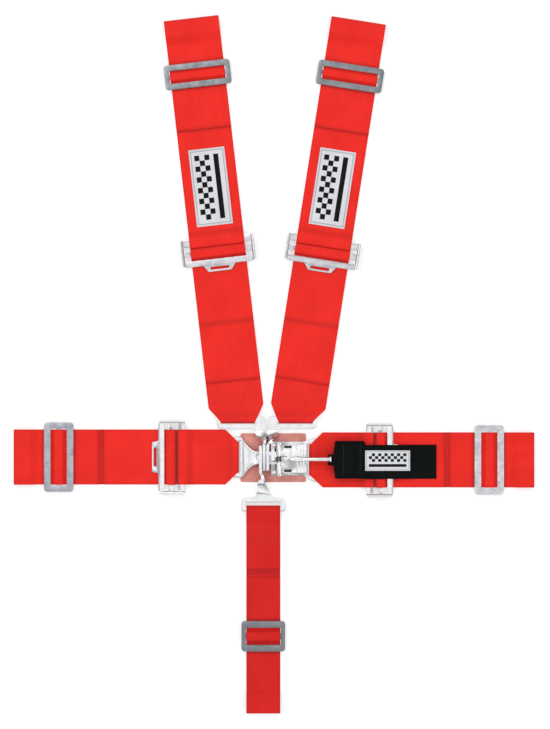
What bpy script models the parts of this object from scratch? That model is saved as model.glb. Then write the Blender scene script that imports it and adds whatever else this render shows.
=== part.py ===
"""Five-point latch-and-link racing harness, laid flat. Metres, +Z up.

The origin is the underside of the buckle pad. The lap straps run along X, the shoulder straps towards
+Y and the crotch strap towards -Y. Each strap is modelled along its own X axis, outwards from the fold
where it wraps its link.
"""

import math

import bmesh
import bpy
from mathutils import Matrix, Vector

# Clearance between pieces that touch, and the step of every rounded corner
GAP = 0.0003
ARC_STEP = math.radians(24)

# Webbing: thickness, and the height of its folds where it lies in layers
WEB_THICK = 0.0013
LAP_WIDTH = 0.0762
SHOULDER_WIDTH = 0.0762
CROTCH_WIDTH = 0.047
LAP_FOLD_WIDTH = 0.043
SHOULDER_FOLD_WIDTH = 0.047
LAP_TAPER = 0.019
SHOULDER_TAPER = 0.024

# Strap lengths from the fold at the buckle to the end of the anchor loop
LAP_LENGTH = 0.312
SHOULDER_LENGTH = 0.565
CROTCH_LENGTH = 0.288

# Anchor loops, as wide as the strap: room inside, how far it reaches from the bight, and its slope
LOOP_HEIGHT = 0.0065
LOOP_DEPTH = 0.022
LOOP_SLOPE = 0.012

# Buckle pad
PAD_LENGTH = 0.0912
PAD_WIDTH = 0.0678
PAD_THICK = 0.0022
PAD_CORNER = 0.003

# Where each strap starts and how far it leans from its axis
LEFT_LAP_FOLD = (-PAD_LENGTH / 2 - 0.0018, 0.001)
RIGHT_LAP_FOLD = (PAD_LENGTH / 2 + 0.004, -0.003)
SHOULDER_FOLD_Y = max(PAD_WIDTH / 2 + 0.0136, LAP_WIDTH / 2 + 0.0094)
LEFT_SHOULDER_FOLD = (-0.0488, SHOULDER_FOLD_Y)
RIGHT_SHOULDER_FOLD = (0.031, SHOULDER_FOLD_Y)
CROTCH_FOLD = (-0.0137, -PAD_WIDTH / 2 - 0.0322)
LEFT_LEAN = math.radians(6.6)
RIGHT_LEAN = math.radians(8.9)
SKEW_RUN = 0.034

# Distances along the straps. Tail and wrap ends keep their distance from the slides.
LAP_SLIDE_AT = LAP_LENGTH - 0.0624
SHOULDER_SLIDE_AT = SHOULDER_LENGTH - 0.0785
CROTCH_SLIDE_AT = CROTCH_LENGTH - 0.107
LAP_REAR_BAR_AT = {"left": 0.079, "right": 0.084}
SHOULDER_REAR_BAR_AT = 0.2545
LAP_LINING_ENDS = (0.0395, 0.0405)
LAP_WRAP_END = LAP_SLIDE_AT - 0.0546
LAP_TAIL_END = LAP_WRAP_END - 0.008
SHOULDER_TAIL_END = 0.060
SHOULDER_TURN_BACK_END = 0.137
SHOULDER_WRAP_END = SHOULDER_SLIDE_AT - 0.0755
SHOULDER_REAR_TURN_END = SHOULDER_WRAP_END - 0.025
CROTCH_WRAP_END = CROTCH_SLIDE_AT - 0.081
CROTCH_TURN_BACK_END = CROTCH_WRAP_END - 0.012

# Three-bar slides: length along the strap, width, outer bar, end, middle bar, thickness.
# Their windows let both layers of webbing slope down through them.
LAP_SLIDE = (0.025 + 12 * WEB_THICK, LAP_WIDTH + 0.0198, 0.009, 0.008, 0.007, 0.0024)
SHOULDER_SLIDE = (0.021 + 10 * WEB_THICK, SHOULDER_WIDTH + 0.0158, 0.008, 0.0065, 0.005, 0.0022)
CROTCH_SLIDE = (0.029 + 10 * WEB_THICK, CROTCH_WIDTH + 0.0135, 0.009, 0.006, 0.007, 0.0024)
SLIDE_CORNER = 0.0045
HUMP_SLOPE = math.radians(52)

# Tilt-lock adjusters, measured from the rear bar's axis
FRAME_THICK = 0.0022
FRAME_HALF_WIDTH = max(LAP_WIDTH, SHOULDER_WIDTH) / 2 + 0.0113
EAR_WALL = 0.005
EAR_LENGTH = 0.036
FOLD_RADIUS = 0.0013
LIP_WIDTH = 0.0014
REAR_BAR = 0.0095
FRONT_BAR = 0.008
BAR_TO_BAR = 0.0325
TAB_LENGTH = 0.009
TAB_ROOT_WIDTH = 0.045
LAP_TAB_TIP_WIDTH = 0.041
SHOULDER_TAB_TIP_WIDTH = 0.032
TAB_SLOT = (0.004, 0.026)
SLIDER_AT = 0.0145
SLIDER_SIZE = (0.008, 2 * FRAME_HALF_WIDTH + 0.0024, 0.004)
SLIDER_LIFT = 0.0025
SLIDER_PLAY = 0.0018

# Latch base, on the pad
BASE_LOW = PAD_THICK + GAP
BASE_THICK = 0.0025
BASE_START = -0.003
BASE_HALF_WIDTH = 0.0235

# Link plates and the tongue that they are strung on
LINK_THICK = 0.0038
TONGUE_THICK = 0.003
LINK_BAR = 0.0065
LINK_SLOT_ROOM = 0.001
LINK_ARM = 0.006
SHOULDER_LINK_ARM = 0.0045
LINK_LOW = PAD_THICK + GAP
TONGUE_WIDTH = 0.0175
TONGUE_LOW = BASE_LOW + BASE_THICK + 0.0035
TONGUE_END = 0.036
TONGUE_STEP_START = -0.044
TONGUE_STEP_END = -0.021
TONGUE_SLOT = (0.0218, 0.0327)
TONGUE_SLOT_HALF = 0.0056
EYE_HALF_HEIGHT = 0.0065
EYE_HALF_LENGTH = 0.018
EYE_SLOT = (TONGUE_WIDTH + 0.0075, TONGUE_THICK + 0.0015)
CROTCH_EYE_X = -0.0175
LEFT_EYE_X = -0.0125
RIGHT_EYE_X = -0.0075
NECK_HALF_WIDTH = 0.007

# Latch: guide wall, ears, pin and lever
LATCH_Y = -0.001
GUIDE_THICK = 0.005
GUIDE_HALF_WIDTH = 0.017
GUIDE_TOP = TONGUE_LOW + TONGUE_THICK + 0.0035
EAR_PLATE = 0.0025
EAR_INNER = 0.020
EAR_X = (0.0035, 0.0135)
PIN_X = 0.008
PIN_RADIUS = 0.0021
HUB_RADIUS = 0.0039
HUB_HALF_WIDTH = 0.0192
HUB_PROUD = 0.0003
SPRING_ROOM = 0.0055
LEVER_LOW = TONGUE_LOW + TONGUE_THICK + 0.0007
LEVER_THICK = 0.0025
PIN_Z = LEVER_LOW + 0.004
LEVER_END = 0.0465
TOOTH = (0.024, 0.027)
TOOTH_TIP = TONGUE_LOW + 0.0005
TOOTH_HALF_WIDTH = 0.005
LEVER_SLOT_X = 0.0203
LEVER_SLOT_OUT = 0.0165
LEVER_SLOT = (0.0105, 0.0036)
REST_X = (0.0325, 0.042)
ROD_RADIUS = 0.0027
CROSS_BAR_X = 0.079
CROSS_BAR_Z = PIN_Z - 0.001
CROSS_BAR_RADIUS = 0.002
CROSS_BAR_LENGTH = 0.013
BOSS_X = (0.022, 0.048)
BOSS_HALF_WIDTH = 0.0042
BOSS_HALF_HEIGHT = 0.0034
PIN_HEAD = (0.0014, 0.0012)
HANDLE_Y = -0.0015
SPRING_WIRE = 0.0005
SPRING_RADIUS = 0.0031
SPRING_TURNS = 5
SPRING_LEG = (0.004, 0.008)

# Pull tab and sewn labels
TAB_THICK = 0.0012
PULL_NECK_WIDTH = 0.015
PULL_FOLD_WIDTH = 0.052
PULL_WIDTH = 0.047
PULL_FOLD_END = 0.124
PULL_END = 0.226
LABEL_THICK = 0.0005
SHOULDER_LABEL = (0.107, 0.050)
SHOULDER_LABEL_AT = 0.330
PULL_LABEL = (0.127, 0.189)
PULL_LABEL_WIDTH = 0.028

# Values that follow from the ones above
LAYER = WEB_THICK + GAP
HUG = GAP + WEB_THICK / 2
SLIDE_LOW = 2 * LAYER
UPRIGHT_FROM = EYE_SLOT[0] / 2 + 0.0035
EYE_Z = TONGUE_LOW + TONGUE_THICK / 2
LINK_MID = LINK_LOW + LINK_THICK / 2
FRAME_MID = SLIDE_LOW + FRAME_THICK / 2
SLIDER_LOW = SLIDE_LOW + SLIDER_LIFT
SLIDER_TOP = SLIDER_LOW + SLIDER_SIZE[2]
PULL_FLAT_Z = SLIDER_TOP + GAP + WEB_THICK + TAB_THICK / 2 + 0.0006
PULL_REST_Z = SLIDE_LOW + TAB_THICK / 2 + GAP


def fresh_collection(name):
    """A new collection in the scene."""
    group = bpy.data.collections.new(name)
    bpy.context.scene.collection.children.link(group)
    return group


for leftover in list(bpy.data.objects):
    bpy.data.objects.remove(leftover, do_unlink=True)
HARNESS = fresh_collection("racing_harness")
TOOLS = fresh_collection("cutters")


def finish(name, colour, roughness, metallic=0.0):
    """A plain Principled material."""
    made = bpy.data.materials.new(name)
    made.use_nodes = True
    shader = made.node_tree.nodes["Principled BSDF"]
    shader.inputs["Base Color"].default_value = (*colour, 1.0)
    shader.inputs["Roughness"].default_value = roughness
    shader.inputs["Metallic"].default_value = metallic
    made.diffuse_color = (*colour, 1.0)
    return made


RED = finish("red_webbing", (0.78, 0.035, 0.03), 0.75)
DARK_RED = finish("crotch_webbing", (0.62, 0.03, 0.028), 0.75)
BLACK = finish("black_webbing", (0.008, 0.009, 0.01), 0.8)
CHROME = finish("chrome", (0.85, 0.86, 0.88), 0.12, 1.0)
ZINC = finish("zinc_steel", (0.45, 0.48, 0.52), 0.38, 1.0)
LEATHER = finish("leather", (0.56, 0.19, 0.13), 0.6)
LABEL = finish("label", (0.78, 0.79, 0.8), 0.55)


def new_object(name, mesh, look, parent=None, at=(0.0, 0.0, 0.0), turn=0.0):
    """An object of the harness, placed in its parent's frame."""
    piece = bpy.data.objects.new(name, mesh)
    HARNESS.objects.link(piece)
    piece.data.materials.clear()
    piece.data.materials.append(look)
    piece.parent = parent
    piece.location = at
    piece.rotation_euler = (0.0, 0.0, turn)
    return piece


def anchor(name, parent=None, at=(0.0, 0.0, 0.0), turn=0.0):
    """An empty that carries the pieces of one strap or one moving group."""
    empty = bpy.data.objects.new(name, None)
    HARNESS.objects.link(empty)
    empty.parent = parent
    empty.location = at
    empty.rotation_euler = (0.0, 0.0, turn)
    return empty


def smooth(value):
    """0 to 1 with level ends."""
    part = min(max(value, 0.0), 1.0)
    return part * part * (3 - 2 * part)


def rounded(points, radius=0.0, closed=False):
    """A polyline whose corners become arcs. A point's own third number is its radius."""
    corners = [(Vector(p[:2]), p[2] if len(p) > 2 else radius) for p in points]
    count = len(corners)
    route = []
    for i, (corner, size) in enumerate(corners):
        before = corners[i - 1][0] - corner
        after = corners[(i + 1) % count][0] - corner
        at_end = not closed and i in (0, count - 1)
        turn = 0.0 if at_end else math.pi - before.angle(after)
        if size <= 0 or turn < 0.001:
            route.append(corner)
            continue
        reach = min(size * math.tan(turn / 2), before.length * 0.48, after.length * 0.48)
        start = before.normalized() * reach
        inward = (before.normalized() + after.normalized()).normalized()
        middle = inward * (reach / math.sin(turn / 2))
        way = math.copysign(turn, (-before).cross(after))
        steps = max(1, round(turn / ARC_STEP))
        for step in range(steps + 1):
            spoke = Matrix.Rotation(way * step / steps, 2) @ (start - middle)
            route.append(corner + middle + spoke)
    return route


def level(number):
    """Height of the middle of the webbing in this layer, the first lying on the floor."""
    return WEB_THICK / 2 + (number - 1) * LAYER


def plate(name, outlines, thick, low):
    """A flat plate with its underside at this height. The first outline is its rim, the others holes."""
    curve = bpy.data.curves.new(name, "CURVE")
    curve.dimensions = "2D"
    curve.fill_mode = "BOTH"
    curve.extrude = thick / 2
    for outline in outlines:
        spline = curve.splines.new("POLY")
        spline.points.add(len(outline) - 1)
        for point, place in zip(spline.points, outline):
            point.co = (place[0], place[1], 0.0, 1.0)
        spline.use_cyclic_u = True
    holder = bpy.data.objects.new(name, curve)
    TOOLS.objects.link(holder)
    depsgraph = bpy.context.evaluated_depsgraph_get()
    mesh = bpy.data.meshes.new_from_object(holder.evaluated_get(depsgraph))
    bpy.data.objects.remove(holder, do_unlink=True)
    bm = bmesh.new()
    bm.from_mesh(mesh)
    bmesh.ops.remove_doubles(bm, verts=bm.verts, dist=0.000001)
    bmesh.ops.translate(bm, verts=bm.verts, vec=(0.0, 0.0, low + thick / 2))
    bm.to_mesh(mesh)
    bm.free()
    return mesh


def box_outline(low, high, radius=0.0):
    """A rectangle between two corners, with round corners."""
    corners = [(low[0], low[1]), (high[0], low[1]), (high[0], high[1]), (low[0], high[1])]
    return rounded(corners, radius, closed=True)


def box(name, low, high):
    """A plain box mesh between two corners."""
    bm = bmesh.new()
    size = [b - a for a, b in zip(low, high)]
    middle = [(a + b) / 2 for a, b in zip(low, high)]
    bmesh.ops.create_cube(bm, size=1.0, matrix=Matrix.LocRotScale(middle, None, size))
    mesh = bpy.data.meshes.new(name)
    bm.to_mesh(mesh)
    bm.free()
    return mesh


def rod(name, start, end, radius, end_radius=None, sides=20):
    """A cylinder or cone mesh between two points."""
    bm = bmesh.new()
    start, end = Vector(start), Vector(end)
    run = end - start
    turn = run.to_track_quat("Z", "Y")
    bmesh.ops.create_cone(
        bm, cap_ends=True, segments=sides, radius1=radius,
        radius2=radius if end_radius is None else end_radius, depth=run.length,
        matrix=Matrix.LocRotScale((start + end) / 2, turn, None),
    )
    mesh = bpy.data.meshes.new(name)
    bm.to_mesh(mesh)
    bm.free()
    return mesh


def combine(piece, mesh, operation):
    """Unite a mesh with a piece, or cut the piece with it, both in the piece's own frame."""
    tool = bpy.data.objects.new(f"{piece.name}_{operation.lower()}_{len(piece.modifiers)}", mesh)
    TOOLS.objects.link(tool)
    tool.parent = piece
    tool.hide_render = True
    tool.display_type = "WIRE"
    cut = piece.modifiers.new(tool.name, "BOOLEAN")
    cut.operation = operation
    cut.solver = "EXACT"
    cut.object = tool


def slice_along(bm, axis, places):
    """Edge loops across a mesh, so that it can be bent there."""
    normal = Vector((0.0, 0.0, 0.0))
    normal[axis] = 1.0
    for place in places:
        everything = bm.verts[:] + bm.edges[:] + bm.faces[:]
        bmesh.ops.bisect_plane(bm, geom=everything, dist=0.0000005, plane_co=normal * place, plane_no=normal)


def spread(start, end, count):
    """Evenly spaced values, ends included."""
    return [start + (end - start) * i / (count - 1) for i in range(count)]


def bend(mesh, axis, places, move):
    """Slice a mesh across an axis and move each corner by a rule."""
    bm = bmesh.new()
    bm.from_mesh(mesh)
    slice_along(bm, axis, places)
    for vert in bm.verts:
        vert.co = move(vert.co)
    bmesh.ops.triangulate(bm, faces=bm.faces)
    bm.to_mesh(mesh)
    bm.free()
    return mesh


def through_folds(distance, above, folds):
    """Where a point of a sheet goes, at this distance along it and this height above its middle.

    Each fold is its start along the sheet, its radius and its turn.
    """
    place, heading, reached = Vector((0.0, 0.0)), 0.0, 0.0
    for start, radius, turn in folds:
        if distance <= start:
            break
        along = Vector((math.cos(heading), math.sin(heading)))
        place += along * (start - reached)
        part = min(distance - start, radius * abs(turn))
        angle = math.copysign(part / radius, turn)
        middle = place + Vector((-along.y, along.x)) * math.copysign(radius, turn)
        place = middle + Matrix.Rotation(angle, 2) @ (place - middle)
        heading += angle
        reached = start + part
    along = Vector((math.cos(heading), math.sin(heading)))
    return place + along * (distance - reached) + Vector((-along.y, along.x)) * above


def ribbon(name, route, look, parent, width_at, lean=0.0, side_at=None, thick=WEB_THICK):
    """Webbing along a route of distance and height, as wide as width_at says at each distance.

    Near the fold the weft lies along the link's slot, which is turned by lean from the strap's own.
    """
    bm = bmesh.new()
    count = len(route) - 1
    bmesh.ops.create_grid(bm, x_segments=count, y_segments=1, size=1.0)
    for vert in bm.verts:
        place = route[round((vert.co.x + 1) / 2 * count)]
        skew = lean * (1 - smooth(place[0] / SKEW_RUN))
        out = math.copysign(width_at(place[0]) / 2, vert.co.y)
        side = side_at(place[0]) if side_at else 0.0
        vert.co = (place[0] + out * math.sin(skew), side + out * math.cos(skew), place[1])
    mesh = bpy.data.meshes.new(name)
    bm.to_mesh(mesh)
    bm.free()
    strip = new_object(name, mesh, look, parent)
    shell = strip.modifiers.new("thickness", "SOLIDIFY")
    shell.thickness = thick
    shell.offset = 0.0
    shell.use_even_offset = True
    return strip


def tapering(full, end, run):
    """Width of a strap whose corners are folded in towards its link, steady where it wraps the bar."""
    return lambda s: end + (full - end) * min(max((s - LAYER) / (run - LAYER), 0.0), 1.0)


def steady(width):
    """Width of a strap that doesn't taper."""
    return lambda s: width


def fold_round_link(bar_low, bar_thick, inner, outer):
    """Webbing in from one layer, round a link's bar, and out in another."""
    clear, outer_foot, inner_foot = 0.0105, 0.026, 0.022
    over = bar_low + bar_thick + HUG
    under = bar_low - HUG
    near = WEB_THICK / 2
    return [
        (outer_foot, level(outer), 0.008),
        (clear, over, 0.006),
        (near, over, HUG),
        (near, under, HUG),
        (clear, under, 0.006),
        (inner_foot, level(inner), 0.008),
    ]


def hump(centre, slide, layer):
    """Webbing over a three-bar slide's middle bar, from the buckle side outwards."""
    middle_bar, thick = slide[4], slide[5]
    extra = (layer - 1) * LAYER
    low = level(layer)
    high = SLIDE_LOW + thick + HUG + extra
    half = middle_bar / 2 + (HUG + extra) * math.tan(HUMP_SLOPE / 2) + 0.0002
    foot = half + (high - low) / math.tan(HUMP_SLOPE)
    return [
        (centre - foot, low, 0.0012),
        (centre - half, high, 0.0012),
        (centre + half, high, 0.0012),
        (centre + foot, low, 0.0012),
    ]


def anchor_loop(end):
    """Webbing out along the floor, round the bight and back to the second layer."""
    high = level(1) + WEB_THICK + LOOP_HEIGHT
    bight = end - WEB_THICK / 2
    turn = (high - level(1)) * 0.46
    return [
        (bight, level(1), turn),
        (bight, high, turn),
        (end - LOOP_DEPTH, high, 0.010),
        (end - LOOP_DEPTH - LOOP_SLOPE, level(2), 0.010),
    ]


def rear_wrap(bar_at, way, floor_first):
    """Webbing round an adjuster's rear bar. It comes from the side that way points away from."""
    top = SLIDE_LOW + FRAME_THICK + HUG
    far = REAR_BAR / 2 + HUG
    near = REAR_BAR / 2 + WEB_THICK
    points = [
        (bar_at - way * (near + 0.0085), level(1), 0.006),
        (bar_at - way * (near + 0.0015), level(2), 0.006),
        (bar_at + way * far, level(2), HUG),
        (bar_at + way * far, top, HUG),
        (bar_at - way * near, top, 0.004),
        (bar_at - way * (near + 0.0115), level(2), 0.008),
    ]
    return points if floor_first else points[::-1]


def slider_wrap(slider_at, way, floor_first):
    """Webbing round an adjuster's slider bar. It comes from the side of the front bar, at way."""
    top = SLIDER_TOP + HUG
    reach = SLIDER_SIZE[0] / 2 + HUG
    points = [
        (slider_at - way * reach, level(1), 0.003),
        (slider_at - way * reach, top, 0.0016),
        (slider_at + way * reach, top, 0.0016),
        (slider_at + way * reach, level(2), 0.0011),
    ]
    return points if floor_first else points[::-1]


def three_bar_slide(name, parent, at, slide):
    """A flat slide with two windows. Its origin is the middle of the plate on the strap."""
    length, width, outer, end, middle, thick = slide
    half_length, half_width = length / 2, width / 2
    window = box_outline((middle / 2, -half_width + end), (half_length - outer, half_width - end), 0.0012)
    mirrored = [(-x, y) for x, y in window]
    rim = box_outline((-half_length, -half_width), (half_length, half_width), SLIDE_CORNER)
    mesh = plate(name, [rim, window, mirrored], thick, -thick / 2)
    return new_object(name, mesh, ZINC, parent, (at, 0.0, SLIDE_LOW + thick / 2))


def adjuster(side, parent, rear_bar_at, turn):
    """A tilt-lock frame on its rear bar's axis, with its sliding bar. The frame is one folded blank."""
    front, back = BAR_TO_BAR, -REAR_BAR / 2
    root = TAB_ROOT_WIDTH / 2
    tip = (LAP_TAB_TIP_WIDTH if side.endswith("lap") else SHOULDER_TAB_TIP_WIDTH) / 2
    first_fold = FRAME_HALF_WIDTH - FOLD_RADIUS - FRAME_THICK / 2
    quarter = FOLD_RADIUS * math.pi / 2
    second_fold = first_fold + quarter + EAR_WALL
    blank = second_fold + quarter + LIP_WIDTH
    ear_end = back + EAR_LENGTH
    half = [
        (ear_end, -blank, 0.001), (ear_end, -first_fold, 0.0), (front, -first_fold, 0.0015),
        (front, -root, 0.002), (front + TAB_LENGTH, -tip, 0.002),
    ]
    rim = [(back, -blank, 0.001), *half]
    rim += [(x, -y, radius) for x, y, radius in rim[::-1]]
    window = box_outline((REAR_BAR / 2, -first_fold), (front - FRONT_BAR, first_fold), 0.001)
    slot_at = front + 0.0025
    tab_slot = box_outline((slot_at, -TAB_SLOT[1] / 2), (slot_at + TAB_SLOT[0], TAB_SLOT[1] / 2), 0.0015)
    bar_low = SLIDER_LOW - FRAME_MID
    reach = SLIDER_SIZE[0] / 2 + SLIDER_PLAY
    wall_at = first_fold + quarter - FOLD_RADIUS
    slots = [
        box_outline(
            (SLIDER_AT - reach, wall_at + bar_low - GAP),
            (SLIDER_AT + reach, wall_at + bar_low + SLIDER_SIZE[2] + GAP), 0.0,
        )
    ]
    slots.append([(x, -y) for x, y in slots[0]])
    outlines = [rounded(rim, closed=True), window, tab_slot, *slots]
    mesh = plate(f"{side}_adjuster_frame", outlines, FRAME_THICK, -FRAME_THICK / 2)
    right_angle = math.pi / 2
    folds = [(first_fold, FOLD_RADIUS, right_angle), (second_fold, FOLD_RADIUS, -right_angle)]

    def fold_up(place):
        side_at = through_folds(abs(place.y), place.z, folds)
        return Vector((place.x, math.copysign(side_at.x, place.y), side_at.y))

    lines = spread(first_fold, first_fold + quarter, 4) + spread(second_fold, second_fold + quarter, 4)
    bend(mesh, 1, lines + [-line for line in lines], fold_up)
    frame = new_object(f"{side}_adjuster_frame", mesh, CHROME, parent, (rear_bar_at, 0.0, FRAME_MID), turn)
    extent = Vector(SLIDER_SIZE) / 2
    bar_mesh = box(f"{side}_slider_bar", -extent, extent)
    bar = new_object(f"{side}_slider_bar", bar_mesh, CHROME, frame, (SLIDER_AT, 0.0, bar_low + extent.z))
    edges = bar.modifiers.new("edges", "BEVEL")
    edges.width = 0.0009
    edges.segments = 2
    edges.limit_method = "ANGLE"
    return frame


def lap_strap(side, parent, fold, turn, bar_thick):
    """Inner webbing from the link to the rear bar, outer webbing from the slider bar to the anchor."""
    rear = LAP_REAR_BAR_AT[side]
    strap = anchor(f"{side}_lap_strap", parent, (*fold, 0.0), turn)
    width = tapering(LAP_WIDTH, LAP_FOLD_WIDTH, LAP_TAPER)
    inner = [
        (LAP_LINING_ENDS[1], level(1)),
        *rear_wrap(rear, 1, True),
        *fold_round_link(LINK_LOW, bar_thick, 1, 2),
        (LAP_LINING_ENDS[0], level(1)),
    ]
    ribbon(f"{side}_lap_inner_webbing", rounded(inner), RED, strap, width)
    outer = [
        (LAP_TAIL_END, level(2)),
        *slider_wrap(rear + SLIDER_AT, 1, False),
        *hump(LAP_SLIDE_AT, LAP_SLIDE, 1),
        *anchor_loop(LAP_LENGTH),
        *hump(LAP_SLIDE_AT, LAP_SLIDE, 2)[::-1],
        (LAP_WRAP_END, level(2)),
    ]
    ribbon(f"{side}_lap_outer_webbing", rounded(outer), RED, strap, steady(LAP_WIDTH))
    adjuster(f"{side}_lap", strap, rear, 0.0)
    three_bar_slide(f"{side}_lap_slide", strap, LAP_SLIDE_AT, LAP_SLIDE)
    return strap


def shoulder_strap(side, parent, eye_x, fold, lean):
    """Lower webbing from the link to the slider bar, upper webbing from the rear bar to the anchor."""
    strap = anchor(f"{side}_shoulder_strap", parent, (fold[0] - eye_x, fold[1], 0.0), math.pi / 2 + lean)
    width = tapering(SHOULDER_WIDTH, SHOULDER_FOLD_WIDTH, SHOULDER_TAPER)
    rear = SHOULDER_REAR_BAR_AT
    lower = [
        (SHOULDER_TURN_BACK_END, level(2)),
        *fold_round_link(LINK_LOW, LINK_THICK, 1, 2),
        *slider_wrap(rear - SLIDER_AT, -1, True),
        (SHOULDER_TURN_BACK_END + 0.012, level(2), 0.006),
        (SHOULDER_TURN_BACK_END + 0.003, level(3), 0.006),
        (SHOULDER_TAIL_END, level(3)),
    ]
    ribbon(f"{side}_shoulder_lower_webbing", rounded(lower), RED, strap, width, lean)
    upper = [
        (SHOULDER_REAR_TURN_END, level(1)),
        *rear_wrap(rear, -1, True),
        (SHOULDER_REAR_TURN_END + 0.002, level(2), 0.006),
        (SHOULDER_REAR_TURN_END + 0.010, level(1), 0.006),
        *hump(SHOULDER_SLIDE_AT, SHOULDER_SLIDE, 1),
        *anchor_loop(SHOULDER_LENGTH),
        *hump(SHOULDER_SLIDE_AT, SHOULDER_SLIDE, 2)[::-1],
        (SHOULDER_WRAP_END, level(2)),
    ]
    ribbon(f"{side}_shoulder_upper_webbing", rounded(upper), RED, strap, steady(SHOULDER_WIDTH))
    adjuster(f"{side}_shoulder", strap, rear, math.pi)
    three_bar_slide(f"{side}_shoulder_slide", strap, SHOULDER_SLIDE_AT, SHOULDER_SLIDE)
    length, breadth = SHOULDER_LABEL
    label_low = level(2) + HUG
    label = box(
        f"{side}_shoulder_label",
        (SHOULDER_LABEL_AT - length / 2, -breadth / 2, label_low),
        (SHOULDER_LABEL_AT + length / 2, breadth / 2, label_low + LABEL_THICK),
    )
    new_object(f"{side}_shoulder_label", label, LABEL, strap)
    return strap


def crotch_strap(parent, fold):
    """One webbing, sewn back round its link and looped round its anchor."""
    strap = anchor("crotch_strap", parent, (fold[0] - CROTCH_EYE_X, fold[1], 0.0), -math.pi / 2)
    route = [
        (CROTCH_TURN_BACK_END, level(2)),
        *fold_round_link(LINK_LOW, LINK_THICK, 1, 2),
        *hump(CROTCH_SLIDE_AT, CROTCH_SLIDE, 1),
        *anchor_loop(CROTCH_LENGTH),
        *hump(CROTCH_SLIDE_AT, CROTCH_SLIDE, 2)[::-1],
        (CROTCH_WRAP_END, level(2)),
    ]
    ribbon("crotch_webbing", rounded(route), DARK_RED, strap, steady(CROTCH_WIDTH))
    three_bar_slide("crotch_slide", strap, CROTCH_SLIDE_AT, CROTCH_SLIDE)
    return strap


def twisted_link(name, parent, rim, slot, neck_x, twist_run, sense):
    """A link plate cut flat, whose eye is turned upright. Its frame's origin is the eye's axis at height 0.

    neck_x is the neck's middle in the flat plate, and twist_run the two distances along Y between which
    the neck turns and rises from the strap's level to the tongue's.
    """
    eye = box_outline(
        (neck_x - EYE_SLOT[1] / 2, -EYE_SLOT[0] / 2), (neck_x + EYE_SLOT[1] / 2, EYE_SLOT[0] / 2), 0.0015
    )
    mesh = plate(name, [rim, slot, eye], LINK_THICK, LINK_LOW)
    flat_end, upright_end = twist_run
    rise_end = flat_end + (upright_end - flat_end) * 0.6

    def twist(place):
        part = smooth((place.y - flat_end) / (upright_end - flat_end))
        lift = smooth((place.y - flat_end) / (rise_end - flat_end))
        angle = sense * part * math.pi / 2
        across, above = place.x - neck_x, place.z - LINK_MID
        if (place.y - flat_end) * (upright_end - flat_end) <= 0:
            return place.copy()
        middle_x = neck_x * (1 - part)
        middle_z = LINK_MID + (EYE_Z - LINK_MID) * lift
        return Vector(
            (
                middle_x + across * math.cos(angle) + above * math.sin(angle),
                place.y,
                middle_z - across * math.sin(angle) + above * math.cos(angle),
            )
        )

    bend(mesh, 1, spread(flat_end, upright_end, 13), twist)
    return new_object(name, mesh, CHROME, parent)


def shoulder_link(side, parent, eye_x, fold, way, neck):
    """Frame round the strap's fold, with a neck at its inner end. way points from the eye to the fold."""
    centre = fold[0] - eye_x
    half_slot = SHOULDER_FOLD_WIDTH / 2 + LINK_SLOT_ROOM
    outer = centre + way * (half_slot + SHOULDER_LINK_ARM)
    inner = neck - way * NECK_HALF_WIDTH
    strip_low = fold[1] - LINK_SLOT_ROOM - LINK_BAR
    bar_high = fold[1] + LAYER + LINK_BAR
    rim = rounded(
        [
            (outer, strip_low, 0.006),
            (neck + way * (NECK_HALF_WIDTH + 0.001), strip_low, 0.004),
            (neck + way * EYE_HALF_HEIGHT, strip_low - 0.014, 0.01),
            (neck + way * EYE_HALF_HEIGHT, -EYE_HALF_LENGTH, 0.003),
            (neck - way * EYE_HALF_HEIGHT, -EYE_HALF_LENGTH, 0.003),
            (neck - way * EYE_HALF_HEIGHT, strip_low - 0.014, 0.01),
            (inner, strip_low, 0.008),
            (inner, bar_high + 0.002, 0.006),
            (centre - way * half_slot, bar_high + 0.002, 0.004),
            (centre - way * (half_slot - 0.004), bar_high, 0.004),
            (outer, bar_high, 0.005),
        ],
        closed=True,
    )
    slot_low, slot_high = fold[1] - LINK_SLOT_ROOM, fold[1] + LAYER
    slot = box_outline((centre - half_slot, slot_low), (centre + half_slot, slot_high), 0.001)
    run = (strip_low - 0.001, UPRIGHT_FROM)
    return twisted_link(f"{side}_shoulder_link", parent, rim, slot, neck, run, -1)


def crotch_link(parent, fold):
    """Frame round the crotch strap's fold, with its neck in the middle."""
    centre = fold[0] - CROTCH_EYE_X
    half_slot = CROTCH_WIDTH / 2 + LINK_SLOT_ROOM
    outer = half_slot + LINK_ARM
    room = 0.0043
    strip_high = fold[1] + room + 0.0072
    bar_low = fold[1] - LAYER - LINK_BAR
    rim = rounded(
        [
            (centre - outer, strip_high - 0.001, 0.007),
            (centre - outer, bar_low, 0.004),
            (centre + outer, bar_low, 0.004),
            (centre + outer, strip_high - 0.001, 0.007),
            (centre + 0.0085, strip_high, 0.004),
            (centre + EYE_HALF_HEIGHT, strip_high + 0.016, 0.012),
            (centre + EYE_HALF_HEIGHT, EYE_HALF_LENGTH, 0.003),
            (centre - EYE_HALF_HEIGHT, EYE_HALF_LENGTH, 0.003),
            (centre - EYE_HALF_HEIGHT, strip_high + 0.016, 0.012),
            (centre - 0.0085, strip_high, 0.004),
        ],
        closed=True,
    )
    slot = box_outline((centre - half_slot, fold[1] - LAYER), (centre + half_slot, fold[1] + room), 0.001)
    run = (strip_high + 0.003, -UPRIGHT_FROM)
    return twisted_link("crotch_link", parent, rim, slot, centre, run, -1)


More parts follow.
